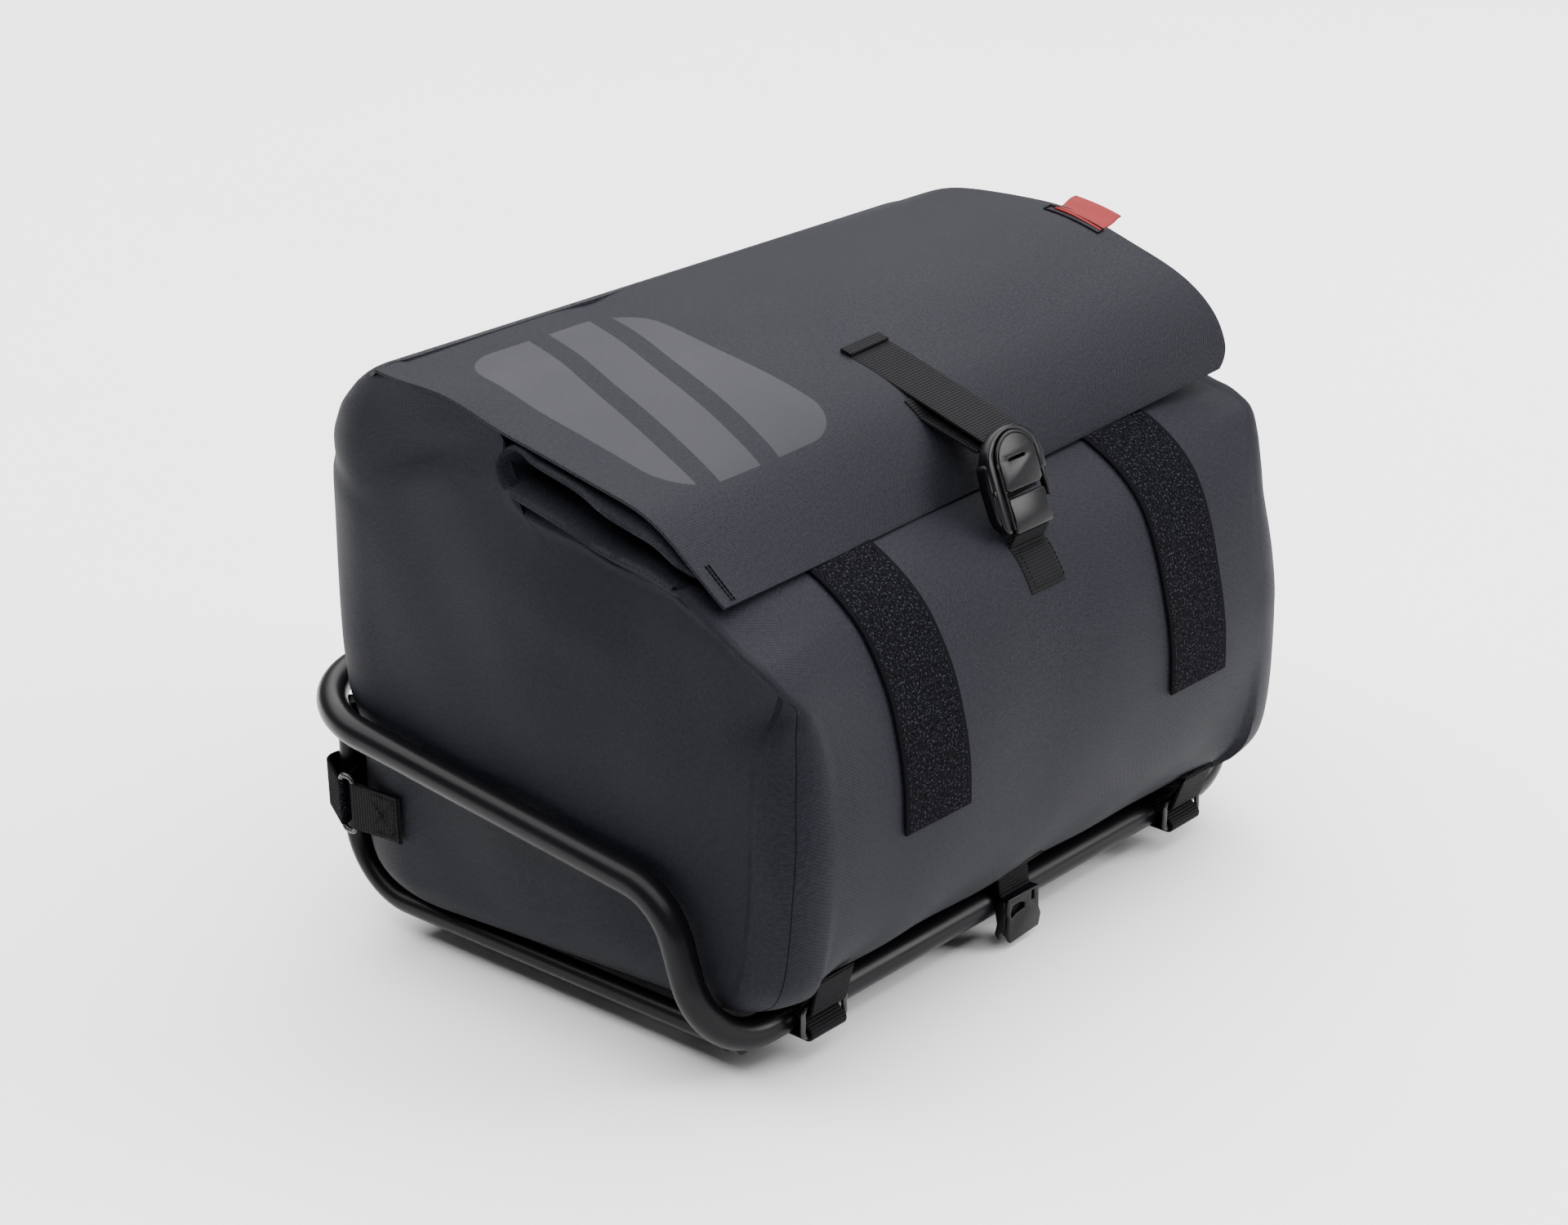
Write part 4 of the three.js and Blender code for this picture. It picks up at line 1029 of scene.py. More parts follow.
    def build(self) -> Piece:
        """Makes the walls and the floor as one hollow shell."""
        skin = self.surface()
        count = skin.shape[1]
        middle = skin[0].mean(0)
        floors = [mix(skin[0], middle, share) for share in (0.94, 0.6, 0.3, 0.04)]
        rings = np.concatenate([floors, skin])
        rings[: len(floors), :, 2] = self.floor
        faces = grid_faces(len(rings), count, True, False)
        points = np.concatenate([rings.reshape(-1, 3), [[middle[0], middle[1], self.floor]]])
        centre = len(points) - 1
        faces += [(centre, (c + 1) % count, c) for c in range(count)]
        u = arc_lengths(rings, 1)
        level = len(rings) // 2
        u = np.broadcast_to(u[level] - u[level][0], u.shape)
        v = arc_lengths(rings, 0)
        uvs = np.concatenate([np.stack([u, v], -1).reshape(-1, 2), [[0, 0]]]) * MM
        piece = publish("bag_body", points, faces, uvs)
        return thicken(piece, self.wall, -1, 0.6, even=False)

    def front_point(self, x: Number, z: Number, lift: float) -> np.ndarray:
        """A point over the bag's front, lifted off it."""
        x, z = np.broadcast_arrays(np.asarray(x, float), np.asarray(z, float))
        p = self.dents(np.stack([x, self.front_at(z, x / self.half), z], -1))
        up = self.dents(np.stack([x, self.front_at(z + 1, x / self.half), z + 1], -1))
        over = self.dents(np.stack([x + 1, self.front_at(z, (x + 1) / self.half), z], -1))
        normal = np.cross(over - p, up - p)
        normal /= np.linalg.norm(normal, axis=-1, keepdims=True)
        return p + normal * lift


@dataclass
class Flap:
    """The closing flap, which rolls over the ridge and down on to the front."""

    thickness: float = 1.5
    half: float = 200.0
    columns: int = 120
    rows: int = 110
    left_corner: float = 4.0
    right_corner: float = 15.0
    rear_corner: float = 18.0
    least_room: float = 0.04
    margin: tuple[tuple[float, float], ...] = ((13, 3.2), (9, 1.6), (6, 0.7), (3, 0.15))
    margin_fall: float = 0.42
    left: Line3D = curve(Line3D, [
        (-203.9, 67, 299.6), (-203.5, 47, 297.2), (-202, 20, 294.4), (-200.3, -6.4, 286.6),
        (-200, -32.8, 280.9), (-200, -58.7, 275.2), (-200, -84.2, 269.3), (-200, -109, 261),
        (-200, -133, 244.2), (-200, -151.1, 230.8)])
    middle: Line3D = curve(Line3D, [
        (0, 66, 300.8), (0, 44, 300.4), (0, 16, 298.4), (0, -10, 295), (0, -36, 290.4), (0, -61, 284.8),
        (0, -86, 276.8), (0, -108, 265.6), (0, -125, 247.5), (0, -134.2, 226.6)])
    right: Line3D = curve(Line3D, [
        (203.9, 67, 300.4), (203.5, 46, 307), (202, 16, 310.3), (200.3, -13.2, 311.8), (200, -38, 310.6),
        (200, -62, 304.6), (200, -86, 296), (200, -113.8, 284.8), (200, -136.4, 266.2),
        (200, -144.6, 242.4)])

    def point(self, a: np.ndarray, t: np.ndarray) -> np.ndarray:
        """Points of the upper face: a from -1 to 1 across, t from 0 at the ridge to 1 at the front edge."""
        share = np.asarray(a, float)[..., None]
        left, middle, right = self.left(t), self.middle(t), self.right(t)
        p = left * share * (share - 1) / 2 + middle * (1 - share * share) + right * share * (share + 1) / 2
        x, y = p[..., 0].copy(), p[..., 1]
        p[..., 2] += 0.5 * np.sin(x / 33.0 + y / 25.0) * ease(0, 0.2, t) * (1 - ease(0.8, 1, t))
        p[..., 2] -= 1.6 * bump(-62, 16, x) * bump(60, 26, y)
        return p

    def normal(self, a: np.ndarray, t: np.ndarray) -> np.ndarray:
        """Directions out of the upper face."""
        a, t = np.broadcast_arrays(np.asarray(a, float), np.asarray(t, float))
        step = 0.004
        across = self.point(a + step, t) - self.point(a - step, t)
        along = self.point(a, np.clip(t - step, 0, 1)) - self.point(a, np.clip(t + step, 0, 1))
        normal = np.cross(across, along)
        return normal / np.linalg.norm(normal, axis=-1, keepdims=True)

    def lifted(self, x: Number, t: Number, lift: float) -> np.ndarray:
        """Points over the flap at x millimetres across, lifted off it."""
        a, t = np.broadcast_arrays(np.asarray(x, float) / self.half, np.asarray(t, float))
        return self.point(a, t) + self.normal(a, t) * lift

    def build(self) -> Piece:
        """Makes the flap, with its rear margin let into the bag's top."""
        a = np.linspace(-1, 1, self.columns + 1)
        t = np.linspace(0, 1, self.rows + 1)
        across, along = np.meshgrid(a, t)
        reach = np.linalg.norm(self.right(1.0) - self.right(t - 0.01), axis=-1)[:, None]
        for side, radius in ((-1, self.left_corner), (1, self.right_corner)):
            into = np.clip(radius - reach, 0, radius)
            cut = (radius - np.sqrt(radius**2 - into**2)) / self.half
            across = np.where(side * across > 0, across * (1 - cut), across)
        grid = self.point(across, along)
        ends = np.where(grid[0, :, 0] < 0, -grid[0, 0, 0], grid[0, -1, 0])
        over = np.clip(np.abs(grid[0, :, 0]) - (ends - self.rear_corner), 0, self.rear_corner)
        pull = self.rear_corner - np.sqrt(np.clip(self.rear_corner**2 - over**2, 0, None))
        room = np.clip(1 - pull / self.rear_corner, self.least_room, 1)
        back = []
        for run, sink in self.margin:
            row = grid[0].copy()
            row[:, 1] += run * room
            row[:, 2] -= (sink + run * self.margin_fall) * room
            back.append(row)
        grid = np.concatenate([np.stack(back), grid])
        piece = grid_piece("closing_flap_cloth", grid, flip=True)
        return thicken(piece, self.thickness, -1, 0.6, even=False)


def spaced(path: np.ndarray, step: float = 1.0, count: int | None = None) -> np.ndarray:
    """The same run with its points evenly spaced, by a step or as a count."""
    along = np.concatenate([[0], np.cumsum(np.linalg.norm(np.diff(path, axis=0), axis=1))])
    places = np.linspace(0, along[-1], count or max(2, round(along[-1] / step) + 1))
    return np.stack([np.interp(places, along, path[:, k]) for k in range(path.shape[1])], 1)


@dataclass
class GussetFold:
    """The side's spare cloth, folded in below the flap's edge: two plies that meet in a crease."""

    side: int
    flap: Flap
    thickness: float = 1.3
    section_points: int = 46
    lower: Profile = curve(Profile, [
        (-152, 222.5), (-142.8, 226.2), (-107.6, 238), (-85, 241.7), (-62, 248.2), (-36, 254.2),
        (-21.4, 258.9), (-17.9, 262.1), (-15.2, 271)])
    upper: Profile = curve(Profile, [
        (-152, 229), (-138, 236.2), (-123.4, 243.6), (-108.8, 251.4), (-86.4, 257.1), (-61.2, 267.1),
        (-35.4, 273.2), (-22.5, 279), (-18, 276), (-15.2, 273.5)])
    raise_by: Profile = curve(Profile, [
        (-152, 2), (-120, 8), (-80, 13), (-20, 18)])

    def build(self) -> Piece:
        """Makes the fold as one sheet."""
        edge = self.flap.left if self.side < 0 else self.flap.right
        line = edge(np.linspace(0, 1, 400))
        end = -137 if self.side < 0 else -120
        places = np.concatenate([[-10.5, -12.5, -14], np.linspace(-15.2, -23, 9), np.linspace(-26, end, 46)])
        count = self.section_points
        rows = []
        for y in places:
            lift = float(self.raise_by(y)) if self.side > 0 else 0.0
            top = float(np.interp(-y, -line[:, 1], line[:, 2])) - 3.4
            low, high = float(self.lower(y)) + lift, min(float(self.upper(y)) + lift, top - 1)
            open_by = float(ease(14.5, 22, -y))
            sunk = float(ease(-end - 19, -end, -y))
            back = 6 * (1 - float(ease(11.5, 15.6, -y)))
            crease = mix(204.5, 176, open_by) - 4 * float(ease(60, 110, -y))
            middle = mix(low, high, 0.42)
            lip = 206.6 - 1.4 * float(ease(85, 125, -y)) - 5 * sunk
            wobble = 0.8 * math.sin(y / 9.0)
            run = [(189, top), (203.2 - 4 * sunk, high), (crease, middle), (lip, low + wobble * 0.4),
                   (198.5, low - 6)]
            tight = 0.7 * open_by + 0.3
            path = rounded_path(run, (tight, 1.2 * open_by + 0.4, tight), False)
            section = spaced(path, count=count)
            bow = np.sin(np.linspace(0, math.pi, count)) * wobble * 0.6 * open_by
            x = self.side * (section[:, 0] - back)
            rows.append(np.stack([x, np.full(count, y), section[:, 1] + bow], 1))
        piece = grid_piece(f"gusset_fold_cloth_{SIDES[self.side]}", np.array(rows), flip=self.side < 0)
        return thicken(piece, self.thickness, 0, 0.4, even=False)


@dataclass
class LoopStrip:
    """A wide strip of loop tape, sewn down the bag's front."""

    side: int
    body: BagBody
    width: float = 48.0
    foot: float = 106.5
    tops: tuple[float, float] = (226.0, 232.0)
    spacing: float = 105.5
    splay: float = 3.5
    thickness: float = 1.6

    def build(self) -> Piece:
        """Makes the strip over the front."""
        top = self.tops[self.side > 0]
        z = np.linspace(self.foot, top + 9, 90)
        across = np.linspace(-1, 1, 17) * self.width / 2
        middle = self.side * (self.spacing + self.splay * ease(160, 226, z))
        sunk = 2.3 * ease(top - 2, top + 3, z)
        skin, raised = (self.body.front_point(middle[:, None] + across[None, :], z[:, None], lift)
                        for lift in (0.0, 1.0))
        grid = skin + (raised - skin) * (0.4 - sunk)[:, None, None]
        return thicken(grid_piece(f"loop_strip_tape_{SIDES[self.side]}", grid), self.thickness, 1, 0.6)


@dataclass
class Band:
    """A flat band of webbing or tape along a line."""

    name: str
    width: float
    thickness: float = 1.5

    def build(self, line: np.ndarray, across: Sequence[float] | np.ndarray,
              closed: bool = False) -> Piece:
        """Makes the band.

        Args:
            line: the middle of its inner face, in millimetres.
            across: the direction of its width, one for the band or one for each point.
            closed: whether it joins its start.

        Returns:
            The object.
        """
        sideways = np.broadcast_to(np.asarray(across, float), line.shape)
        sideways = sideways / np.linalg.norm(sideways, axis=1, keepdims=True)
        if closed:
            line = np.concatenate([line, line[:1]])
            sideways = np.concatenate([sideways, sideways[:1]])
        steps = np.linspace(-0.5, 0.5, 9) * self.width
        grid = line[:, None, :] + sideways[:, None, :] * steps[None, :, None]
        piece = grid_piece(self.name, grid)
        if closed:
            made = bmesh.new()
            made.from_mesh(piece.data)
            bmesh.ops.remove_doubles(made, verts=made.verts, dist=1e-6)
            made.to_mesh(piece.data)
            made.free()
        return thicken(piece, self.thickness, 1, 0.35)


def belt_path(first: tuple[float, float, float], second: tuple[float, float, float]) -> np.ndarray:
    """The flat path of a belt round two wheels, each given by its centre and radius."""
    a, b = np.array(first[:2]), np.array(second[:2])
    gap = float(np.linalg.norm(b - a))
    heading = math.atan2(b[1] - a[1], b[0] - a[0])
    spread = math.acos(np.clip((first[2] - second[2]) / gap, -1, 1))
    points = []
    arcs = ((a, first[2], spread, FULL_TURN - spread), (b, second[2], -spread, spread))
    for centre, radius, start, end in arcs:
        for angle in heading + np.linspace(start, end, 26):
            points.append(centre + radius * np.array([math.cos(angle), math.sin(angle)]))
    return np.array(points)


def closed_loop(path: np.ndarray) -> np.ndarray:
    """A belt's flat path with its points evenly spaced."""
    return spaced(np.concatenate([path, path[:1]]), 0.9)[:-1]


@dataclass
class FlapStrap:
    """The strap, its buckle and its anchor at the middle of the front."""

    flap: Flap
    body: BagBody
    finishes: Finishes
    rods: RodTool
    stitches: StitchTool
    x: float = 3.0
    width: float = 29.0
    anchor_width: float = 27.0
    anchor_x: float = 0.5
    tilt: float = 20.0
    centre_y: float = -155.7
    centre_z: float = 237.4
    half_width: float = 21.0
    half_height: float = 25.0
    arch: float = 17.0
    depth: float = 3.5
    strap_run: tuple[float, float] = (0.54, 0.63)
    tail_run: tuple[float, float] = (0.745, 0.8)

    def basis(self, x: float = 0, up: float = 0, out: float = 0) -> Matrix:
        """The buckle's own axes: across, up and out of the bag."""
        return place_at(self.x, self.centre_y, self.centre_z, self.tilt) @ Matrix.Translation((x, up, out))

    def spot(self, across: float, up: float, out: float) -> np.ndarray:
        """A place in the buckle's own axes as a point in the tray's."""
        return np.array(self.basis() @ Vector((across, up, out)))

    def build_strap(self) -> list[Piece]:
        """Makes the strap, its sewn end and its loose tail."""
        t = np.linspace(*self.strap_run, 24)
        half = self.width / 2
        left = self.flap.lifted(self.x - half, t, 0.3)
        right = self.flap.lifted(self.x + half, t, 0.3)
        line = (left + right) / 2
        end = self.spot(0, self.half_height - 3.5, -0.5)
        path = spaced(np.concatenate([line, [end, self.spot(0, -9, -1.2)]]), 1.5)
        lean = (right - left)[len(t) // 2]
        pieces = [Band("front_strap_webbing", self.width).build(path, lean)]
        fold = (self.flap.lifted(self.x - half, t[:9], 2.0) + self.flap.lifted(self.x + half, t[:9], 2.0)) / 2
        pieces.append(Band("strap_end_webbing", self.width).build(spaced(fold, 1.0), lean))
        foot = self.flap.lifted(self.x - 5, np.linspace(*self.tail_run, 8), 0.9)
        tip = self.spot(-3, self.half_height - 7, -4.5)
        tail = spaced(np.concatenate([foot, [tip]]), 1.5)
        pieces.append(Band("strap_tail_webbing", self.width - 1).build(tail, lean))
        return pieces

    def build_frame(self) -> list[Piece]:
        """Makes the buckle's arched frame: a long thick left arm and a short thin right one."""
        w, h, d = self.half_width, self.half_height, self.depth
        spring = h - self.arch
        arch = arc(w, self.arch, 0, math.pi, 25, spring)
        inner = arc(15.6, 14.2, math.pi, 0, 25, spring)
        outline = [(w, h - 26), *arch, (-w, -h + 4), (-w + 2.2, -h), (-15.6, -h), *inner, (15.9, h - 26)]
        shell = slab("buckle_shell", outline, -d, d - 0.4, self.basis(), 1.3)
        flat = [(-15.2, y) for y in np.linspace(-h + 1.5, spring, 10)]
        flat += arc(15.0, 13.6, math.pi, 0.3, 22, spring)
        path = np.array([self.spot(*p, d) for p in flat])
        bead = self.rods.rod("buckle_bead", path, 1.6, 10, self.finishes.plastic)
        short = [(w - 3.4, spring), (w, h - 16), (w + 0.4, h - 36), (w - 1.2, h - 40), (w - 3.0, h - 38)]
        arm = slab("buckle_right_arm", short, -2.0, 1.6, self.basis(), 0.8)
        swell = [(-w - 1.2, h - 16), (-w + 2.5, h - 12), (-w + 3.2, -h + 8), (-w + 0.6, -h + 3),
                 (-w - 1.6, -h + 9), (-w - 2.2, h - 26)]
        cheek = slab("buckle_cheek", swell, -d - 1.5, d - 1.6, self.basis(), 1.4)
        head = arc(1.5, 1.5, 0, FULL_TURN * 13 / 14, 14)
        rivet = slab("buckle_rivet", head, 0, 0.8, self.basis(-w + 0.8, -4, d - 1.4), 0.3)
        return [shell, bead, arm, cheek, rivet]

    def build_tab(self) -> Piece:
        """Makes the press tab with its slot."""
        h = self.half_height
        low, top = h - 29.0, h - self.arch
        arch = arc(14.2, 12.8, 0, math.pi, 25, top)
        face = [(14.0, low), *arch, (-14.0, low), (-11.5, low - 1.6), (11.5, low - 1.6)]
        slot = [(-6.5, top + 0.4), (5.5, top + 0.4), (6.3, top + 1.2), (5.5, top + 2.0), (-6.5, top + 2.0),
                (-7.3, top + 1.2)]
        return slab("buckle_tab_moulding", face, 1.6, self.depth + 0.9, self.basis(), 0.7, [slot])

    def build_plate(self) -> list[Piece]:
        """Makes the lower plate and the spring bar in the gap over it."""
        h = self.half_height
        right = [(13.6, -9.0), (14.2, -11), (13.4, -h + 6), (14.6, -h + 0.5), (13.6, -h - 1.2)]
        face = [(-13.6, -9.0), *right, *((-x, y) for x, y in right[:0:-1])]
        plate = slab("buckle_plate_moulding", face, 0.8, self.depth + 0.5, self.basis(), 0.8)
        bends = ((-12, -5.6, 0.4), (-4, -5.2, 1.2), (4, -5.2, 1.2), (12, -5.6, 0.4))
        bar = np.array([self.spot(*bend) for bend in bends])
        spring = self.rods.rod("buckle_spring", spaced(bar, 2), 1.6, 10, self.finishes.wire)
        return [plate, spring]

    def build_anchor(self) -> list[Piece]:
        """Makes the webbing from the plate to the patch sewn on the front, with its stitches."""
        foot = self.spot(0, -self.half_height + 2, 0)
        z = np.linspace(206, 186, 14)
        patch = self.body.front_point(self.anchor_x, z, 0.5)
        start = self.spot(0, -self.half_height - 2.5, 1.0)
        path = spaced(np.concatenate([[foot, start], patch]), 1.2)
        first = Band("anchor_webbing_band", self.anchor_width).build(path, (1, 0, 0))
        z = np.linspace(209, 188, 12)
        under = self.body.front_point(self.anchor_x, z, 0.2)
        second = Band("anchor_patch_band", self.anchor_width - 1).build(spaced(under, 2), (1, 0, 0))
        w = self.anchor_width / 2 - 2.2
        box = np.concatenate([
            self.body.front_point(self.anchor_x + np.linspace(-w, w, 14), 188.5, 2.2),
            self.body.front_point(self.anchor_x + w, np.linspace(188.5, 204, 10), 2.2),
            self.body.front_point(self.anchor_x + np.linspace(w, -w, 14), 204, 2.2),
            self.body.front_point(self.anchor_x - w, np.linspace(204, 188.5, 10), 2.2)])
        sewn = self.stitches.sew("anchor_stitches", box, (2.7, 2.1, 0.7), 3, self.finishes.thread, True)
        return [first, second, sewn]

    def build(self) -> None:
        """Makes and dresses every piece of the fastening."""
        look = self.finishes
        strap, end, tail = self.build_strap()
        dress(strap, look.webbing, Slot.WEBBING, "front_strap")
        dress(end, look.webbing, Slot.WEBBING, "strap_end")
        dress(tail, look.webbing, Slot.WEBBING)
        shell, *others = self.build_frame()
        dress(shell, look.plastic, Slot.FITTING, "buckle_frame")
        for part in others:
            dress(part, look.plastic, Slot.FITTING)
        dress(self.build_tab(), look.plastic, Slot.FITTING, "buckle_tab")
        plate, spring = self.build_plate()
        dress(plate, look.plastic, Slot.FITTING, "buckle_plate")
        dress(spring, look.wire, Slot.FITTING)
        band, patch, sewn = self.build_anchor()
        dress(band, look.webbing, Slot.WEBBING, "anchor_webbing")
        dress(patch, look.webbing, Slot.WEBBING)
        dress(sewn, look.thread, Slot.WEBBING)


@dataclass
class WireRing:
    """A flat rectangular ring of painted wire."""

    name: str
    centre: Sequence[float]
    long_axis: Sequence[float]
    short_axis: Sequence[float]
    length: float
    height: float
    wire: float = 3.0

    def build(self, rods: RodTool, material: Finish) -> Piece:
        """Makes the ring."""
        centre = np.array(self.centre, float)
        u = np.array(self.long_axis) * self.length / 2
        v = np.array(self.short_axis) * self.height / 2
        corners = [centre - u - v, centre + u - v, centre + u + v, centre - u + v]
        path = rounded_path(corners, [self.wire * 1.1] * 4, True)
        return rods.rod(self.name, path, self.wire, 16, material, True)


@dataclass
class RailTie:
    """Strap, ring and tab that tie the bag's front to the rail."""

    side: int
    body: BagBody
    finishes: Finishes
    rods: RodTool
    x: float = 147.0
    width: float = 25.0
    rail_y: float = -144.0
    rail_z: float = 8.0
    ring_y: float = -158.1
    ring_z: float = 9.5
    ring_height: float = 15.0
    tab_z: float = 34.4
    wrap: float = 3.9

    def build(self) -> None:
        """Makes and dresses the three pieces."""
        where = SIDES[self.side]
        x = self.side * self.x
        rise = self.ring_height / 2 - 1.2
        low = belt_path((self.rail_y, self.rail_z, 8.3), (self.ring_y, self.ring_z - rise, self.wrap))
        strap = Band(f"rail_strap_tape_{where}", self.width).build(self.loop(x, low), (1, 0, 0), True)
        dress(strap, self.finishes.webbing, Slot.WEBBING, f"rail_strap_{where}")
        top = float(self.body.front_point(x, self.tab_z, 0)[1]) - 2.1
        high = belt_path((top, self.tab_z, 0.3), (self.ring_y, self.ring_z + rise, self.wrap))
        tab = Band(f"rail_tab_tape_{where}", self.width).build(self.loop(x, high), (1, 0, 0), True)
        dress(tab, self.finishes.webbing, Slot.WEBBING, f"rail_tab_{where}")
        ring = WireRing(f"rail_ring_wire_{where}", (x, self.ring_y, self.ring_z), (1, 0, 0), (0, 0, 1),
                        self.width + 5, self.ring_height)
        wire = self.finishes.wire
        dress(ring.build(self.rods, wire), wire, Slot.RING_WIRE, f"rail_ring_{where}")

    def loop(self, x: float, path: np.ndarray) -> np.ndarray:
        """A belt's flat path set upright at x."""
        flat = closed_loop(path)
        return np.stack([np.full(len(flat), x), flat[:, 0], flat[:, 1]], 1)


@dataclass
class PostTie:
    """Sewn tab, ring and tape that tie a side of the bag to the post behind it."""

    side: int
    finishes: Finishes
    rods: RodTool
    stitches: StitchTool
    width: float = 25.0
    z: float = 64.5
    post_x: float = 188.0
    post_y: float = 124.0
    wall: float = 204.4
    ring_y: float = 104.0
    slack: float = 10.5
    tab_length: float = 32.0

    def level(self, path: np.ndarray) -> np.ndarray:
        """A belt's flat path laid level."""
        flat = closed_loop(path)
        return np.stack([flat[:, 0], flat[:, 1], np.full(len(flat), self.z)], 1)

    def build(self) -> None:
        """Makes and dresses the pieces."""
        where = SIDES[self.side]
        x = self.side * (self.wall + 4.5)
        post = (self.side * (self.post_x + 1.5), self.post_y + 2, self.slack)
        path = self.level(belt_path(post, (x, self.ring_y + 4.5, 1.8)))
        strap = Band(f"post_strap_tape_{where}", self.width).build(path, (0, 0, 1), True)
        dress(strap, self.finishes.tape, Slot.LOOP_PILE, f"post_strap_{where}")
        end = self.ring_y - 4.5 - self.tab_length
        path = self.level(belt_path((self.side * (self.wall + 2.4), end, 0.3), (x, self.ring_y - 4.5, 1.8)))
        tab = Band(f"post_tab_webbing_{where}", self.width).build(path, (0, 0, 1), True)
        dress(tab, self.finishes.webbing, Slot.WEBBING, f"post_tab_{where}")
        ring = WireRing(f"post_ring_wire_{where}", (x, self.ring_y, self.z), (0, 0, 1), (0, 1, 0),
                        self.width + 5, 9.0)
        wire = self.finishes.wire
        dress(ring.build(self.rods, wire), wire, Slot.RING_WIRE, f"post_ring_{where}")
        out = self.side * (self.wall + 4.6)
        low, high, near, far = self.z - 10, self.z + 10, end + 2.5, end + 22
        corners = [(out, near, low), (out, far, low), (out, far, high), (out, near, high)]
        box = spaced(np.array([corners[k] for k in (0, 1, 2, 3, 0, 2, 1, 3)], float), 1.0)
        sewn = self.stitches.sew(f"post_tab_stitches_{where}", box, (2.6, 2.1, 0.7), 5, self.finishes.thread)
        dress(sewn, self.finishes.thread, Slot.WEBBING)


@dataclass
class CentreClip:
    """The hooked clip at the middle of the rail and the webbing that holds it."""

    body: BagBody
    finishes: Finishes
    x: float = 6.0
    width: float = 27.0
    top: float = 14.0
    foot: float = -11.0
    face_y: float = -158.9

    def build(self) -> None:
        """Makes and dresses the clip and its webbing."""
        h = self.width / 2
        high, low = self.top, self.foot
        outline = [(-h + 3, low), (h - 0.5, low + 1.5), (h + 1.5, low + 8), (h - 0.5, low + 13),
                   (h - 0.5, high), (-h + 1, high), (-h, high - 7), (-h + 1.5, high - 11),
                   (-h + 0.5, low + 5)]
        slot = [(-h + 3.2, high - 8.5), (-h + 4.6, high - 11.5), (-h + 8, high - 9.5), (-h + 15, high - 9),
                (-h + 15, high - 6), (-h + 11, high - 4.4), (-h + 5, high - 4.4)]
        notch = [(h - 6.5, high - 7), (h - 4.2, high - 7), (h - 4.2, high - 1.6), (h - 6.5, high - 1.6)]
        plate = slab("clip_face", outline, 0, 2.4, place_at(self.x, self.face_y + 1.2, 0), 0.7, [slot, notch])
        dress(plate, self.finishes.plastic, Slot.FITTING, "clip_plate")
        hook = [(0, high - 1), (5.6, high - 1), (6.4, high - 8), (5.2, low + 10), (6.6, low + 4),
                (4.4, low + 1), (2.6, low + 6), (0, low + 4)]
        turned = Matrix.Translation((self.x - h + 2, self.face_y + 0.6, 0)) @ Matrix(
            ((0, 0, -1, 0), (1, 0, 0, 0), (0, 1, 0, 0), (0, 0, 0, 1)))
        for number, (start, end) in enumerate(((-1.2, 1.8), (-h * 2 + 4.0, -h * 2 + 6.5))):
            flange = slab(f"clip_flange_{number}", hook, start, end, turned, 0.6)
            dress(flange, self.finishes.plastic, Slot.FITTING)
        bridge = slab("clip_bridge", [(-h + 1, 0), (h - 1, 0), (h - 1, 6), (-h + 1, 6)], high - 2.4, high,
                      Matrix.Translation((self.x, self.face_y, 0)), 0.6)
        dress(bridge, self.finishes.plastic, Slot.FITTING)
        z = np.linspace(34, 25, 8)
        on_bag = self.body.front_point(self.x, z, 0.5)
        over = [(self.x, self.face_y + y, high + z) for y, z in ((4.5, 0.6), (1.6, -1.5), (1.8, -13))]
        path = spaced(np.concatenate([on_bag, rounded_path([on_bag[-1], *over], [4.0, 1.6], False)[1:]]), 1.0)
        band = Band("clip_webbing_band", self.width - 3).build(path, (1, 0, 0))
        dress(band, self.finishes.webbing, Slot.WEBBING, "clip_webbing")


@dataclass
class SideTag:
    """The plain label folded out of the flap's right edge, with its sewn outline on the flap."""

    flap: Flap
    finishes: Finishes
    stitches: StitchTool
    front: float = -64.5
    back: float = -34.0
    reach: float = 15.0

    def share_at(self, y: float) -> float:
        """How far along the flap's right edge a place lies."""
        t = np.linspace(0, 1, 400)
        return float(np.interp(-y, -self.flap.right(t)[:, 1], t))

    def build(self) -> None:
        """Makes and dresses the label and its stitches."""
        rows = []
        for y in np.linspace(self.back, self.front, 16):
            edge = self.flap.point(np.array(1.0), np.array(self.share_at(y))) + np.array([-6, 0, -0.6])
            out = np.linspace(0, self.reach + 6, 14)
            rise = 2.6 * ease(4, 20, out) + 0.25 * np.sin(out / 2.2 + y / 8)
            rows.append(np.stack([edge[0] + out, y + 1.4 * ease(8, 21, out), edge[2] + rise], 1))
        piece = thicken(grid_piece("side_tag_label", np.array(rows), flip=True), 1.1, 0, 0.3)
        dress(piece, self.finishes.label, Slot.LABEL, "side_tag")
        t0, t1 = self.share_at(self.back + 4), self.share_at(self.front - 1)
        outline = np.concatenate([
            self.flap.lifted(196.0, np.linspace(t0, t1, 14), 0.35),
            self.flap.lifted(np.linspace(196, 190.5, 4), t1, 0.35),
            self.flap.lifted(190.5, np.linspace(t1, t0, 14), 0.35)])
        sewn = self.stitches.sew("tag_stitches", outline, (1.4, 1.8, 1.1), 11, self.finishes.thread, True)
        dress(sewn, self.finishes.thread, Slot.CLOTH)


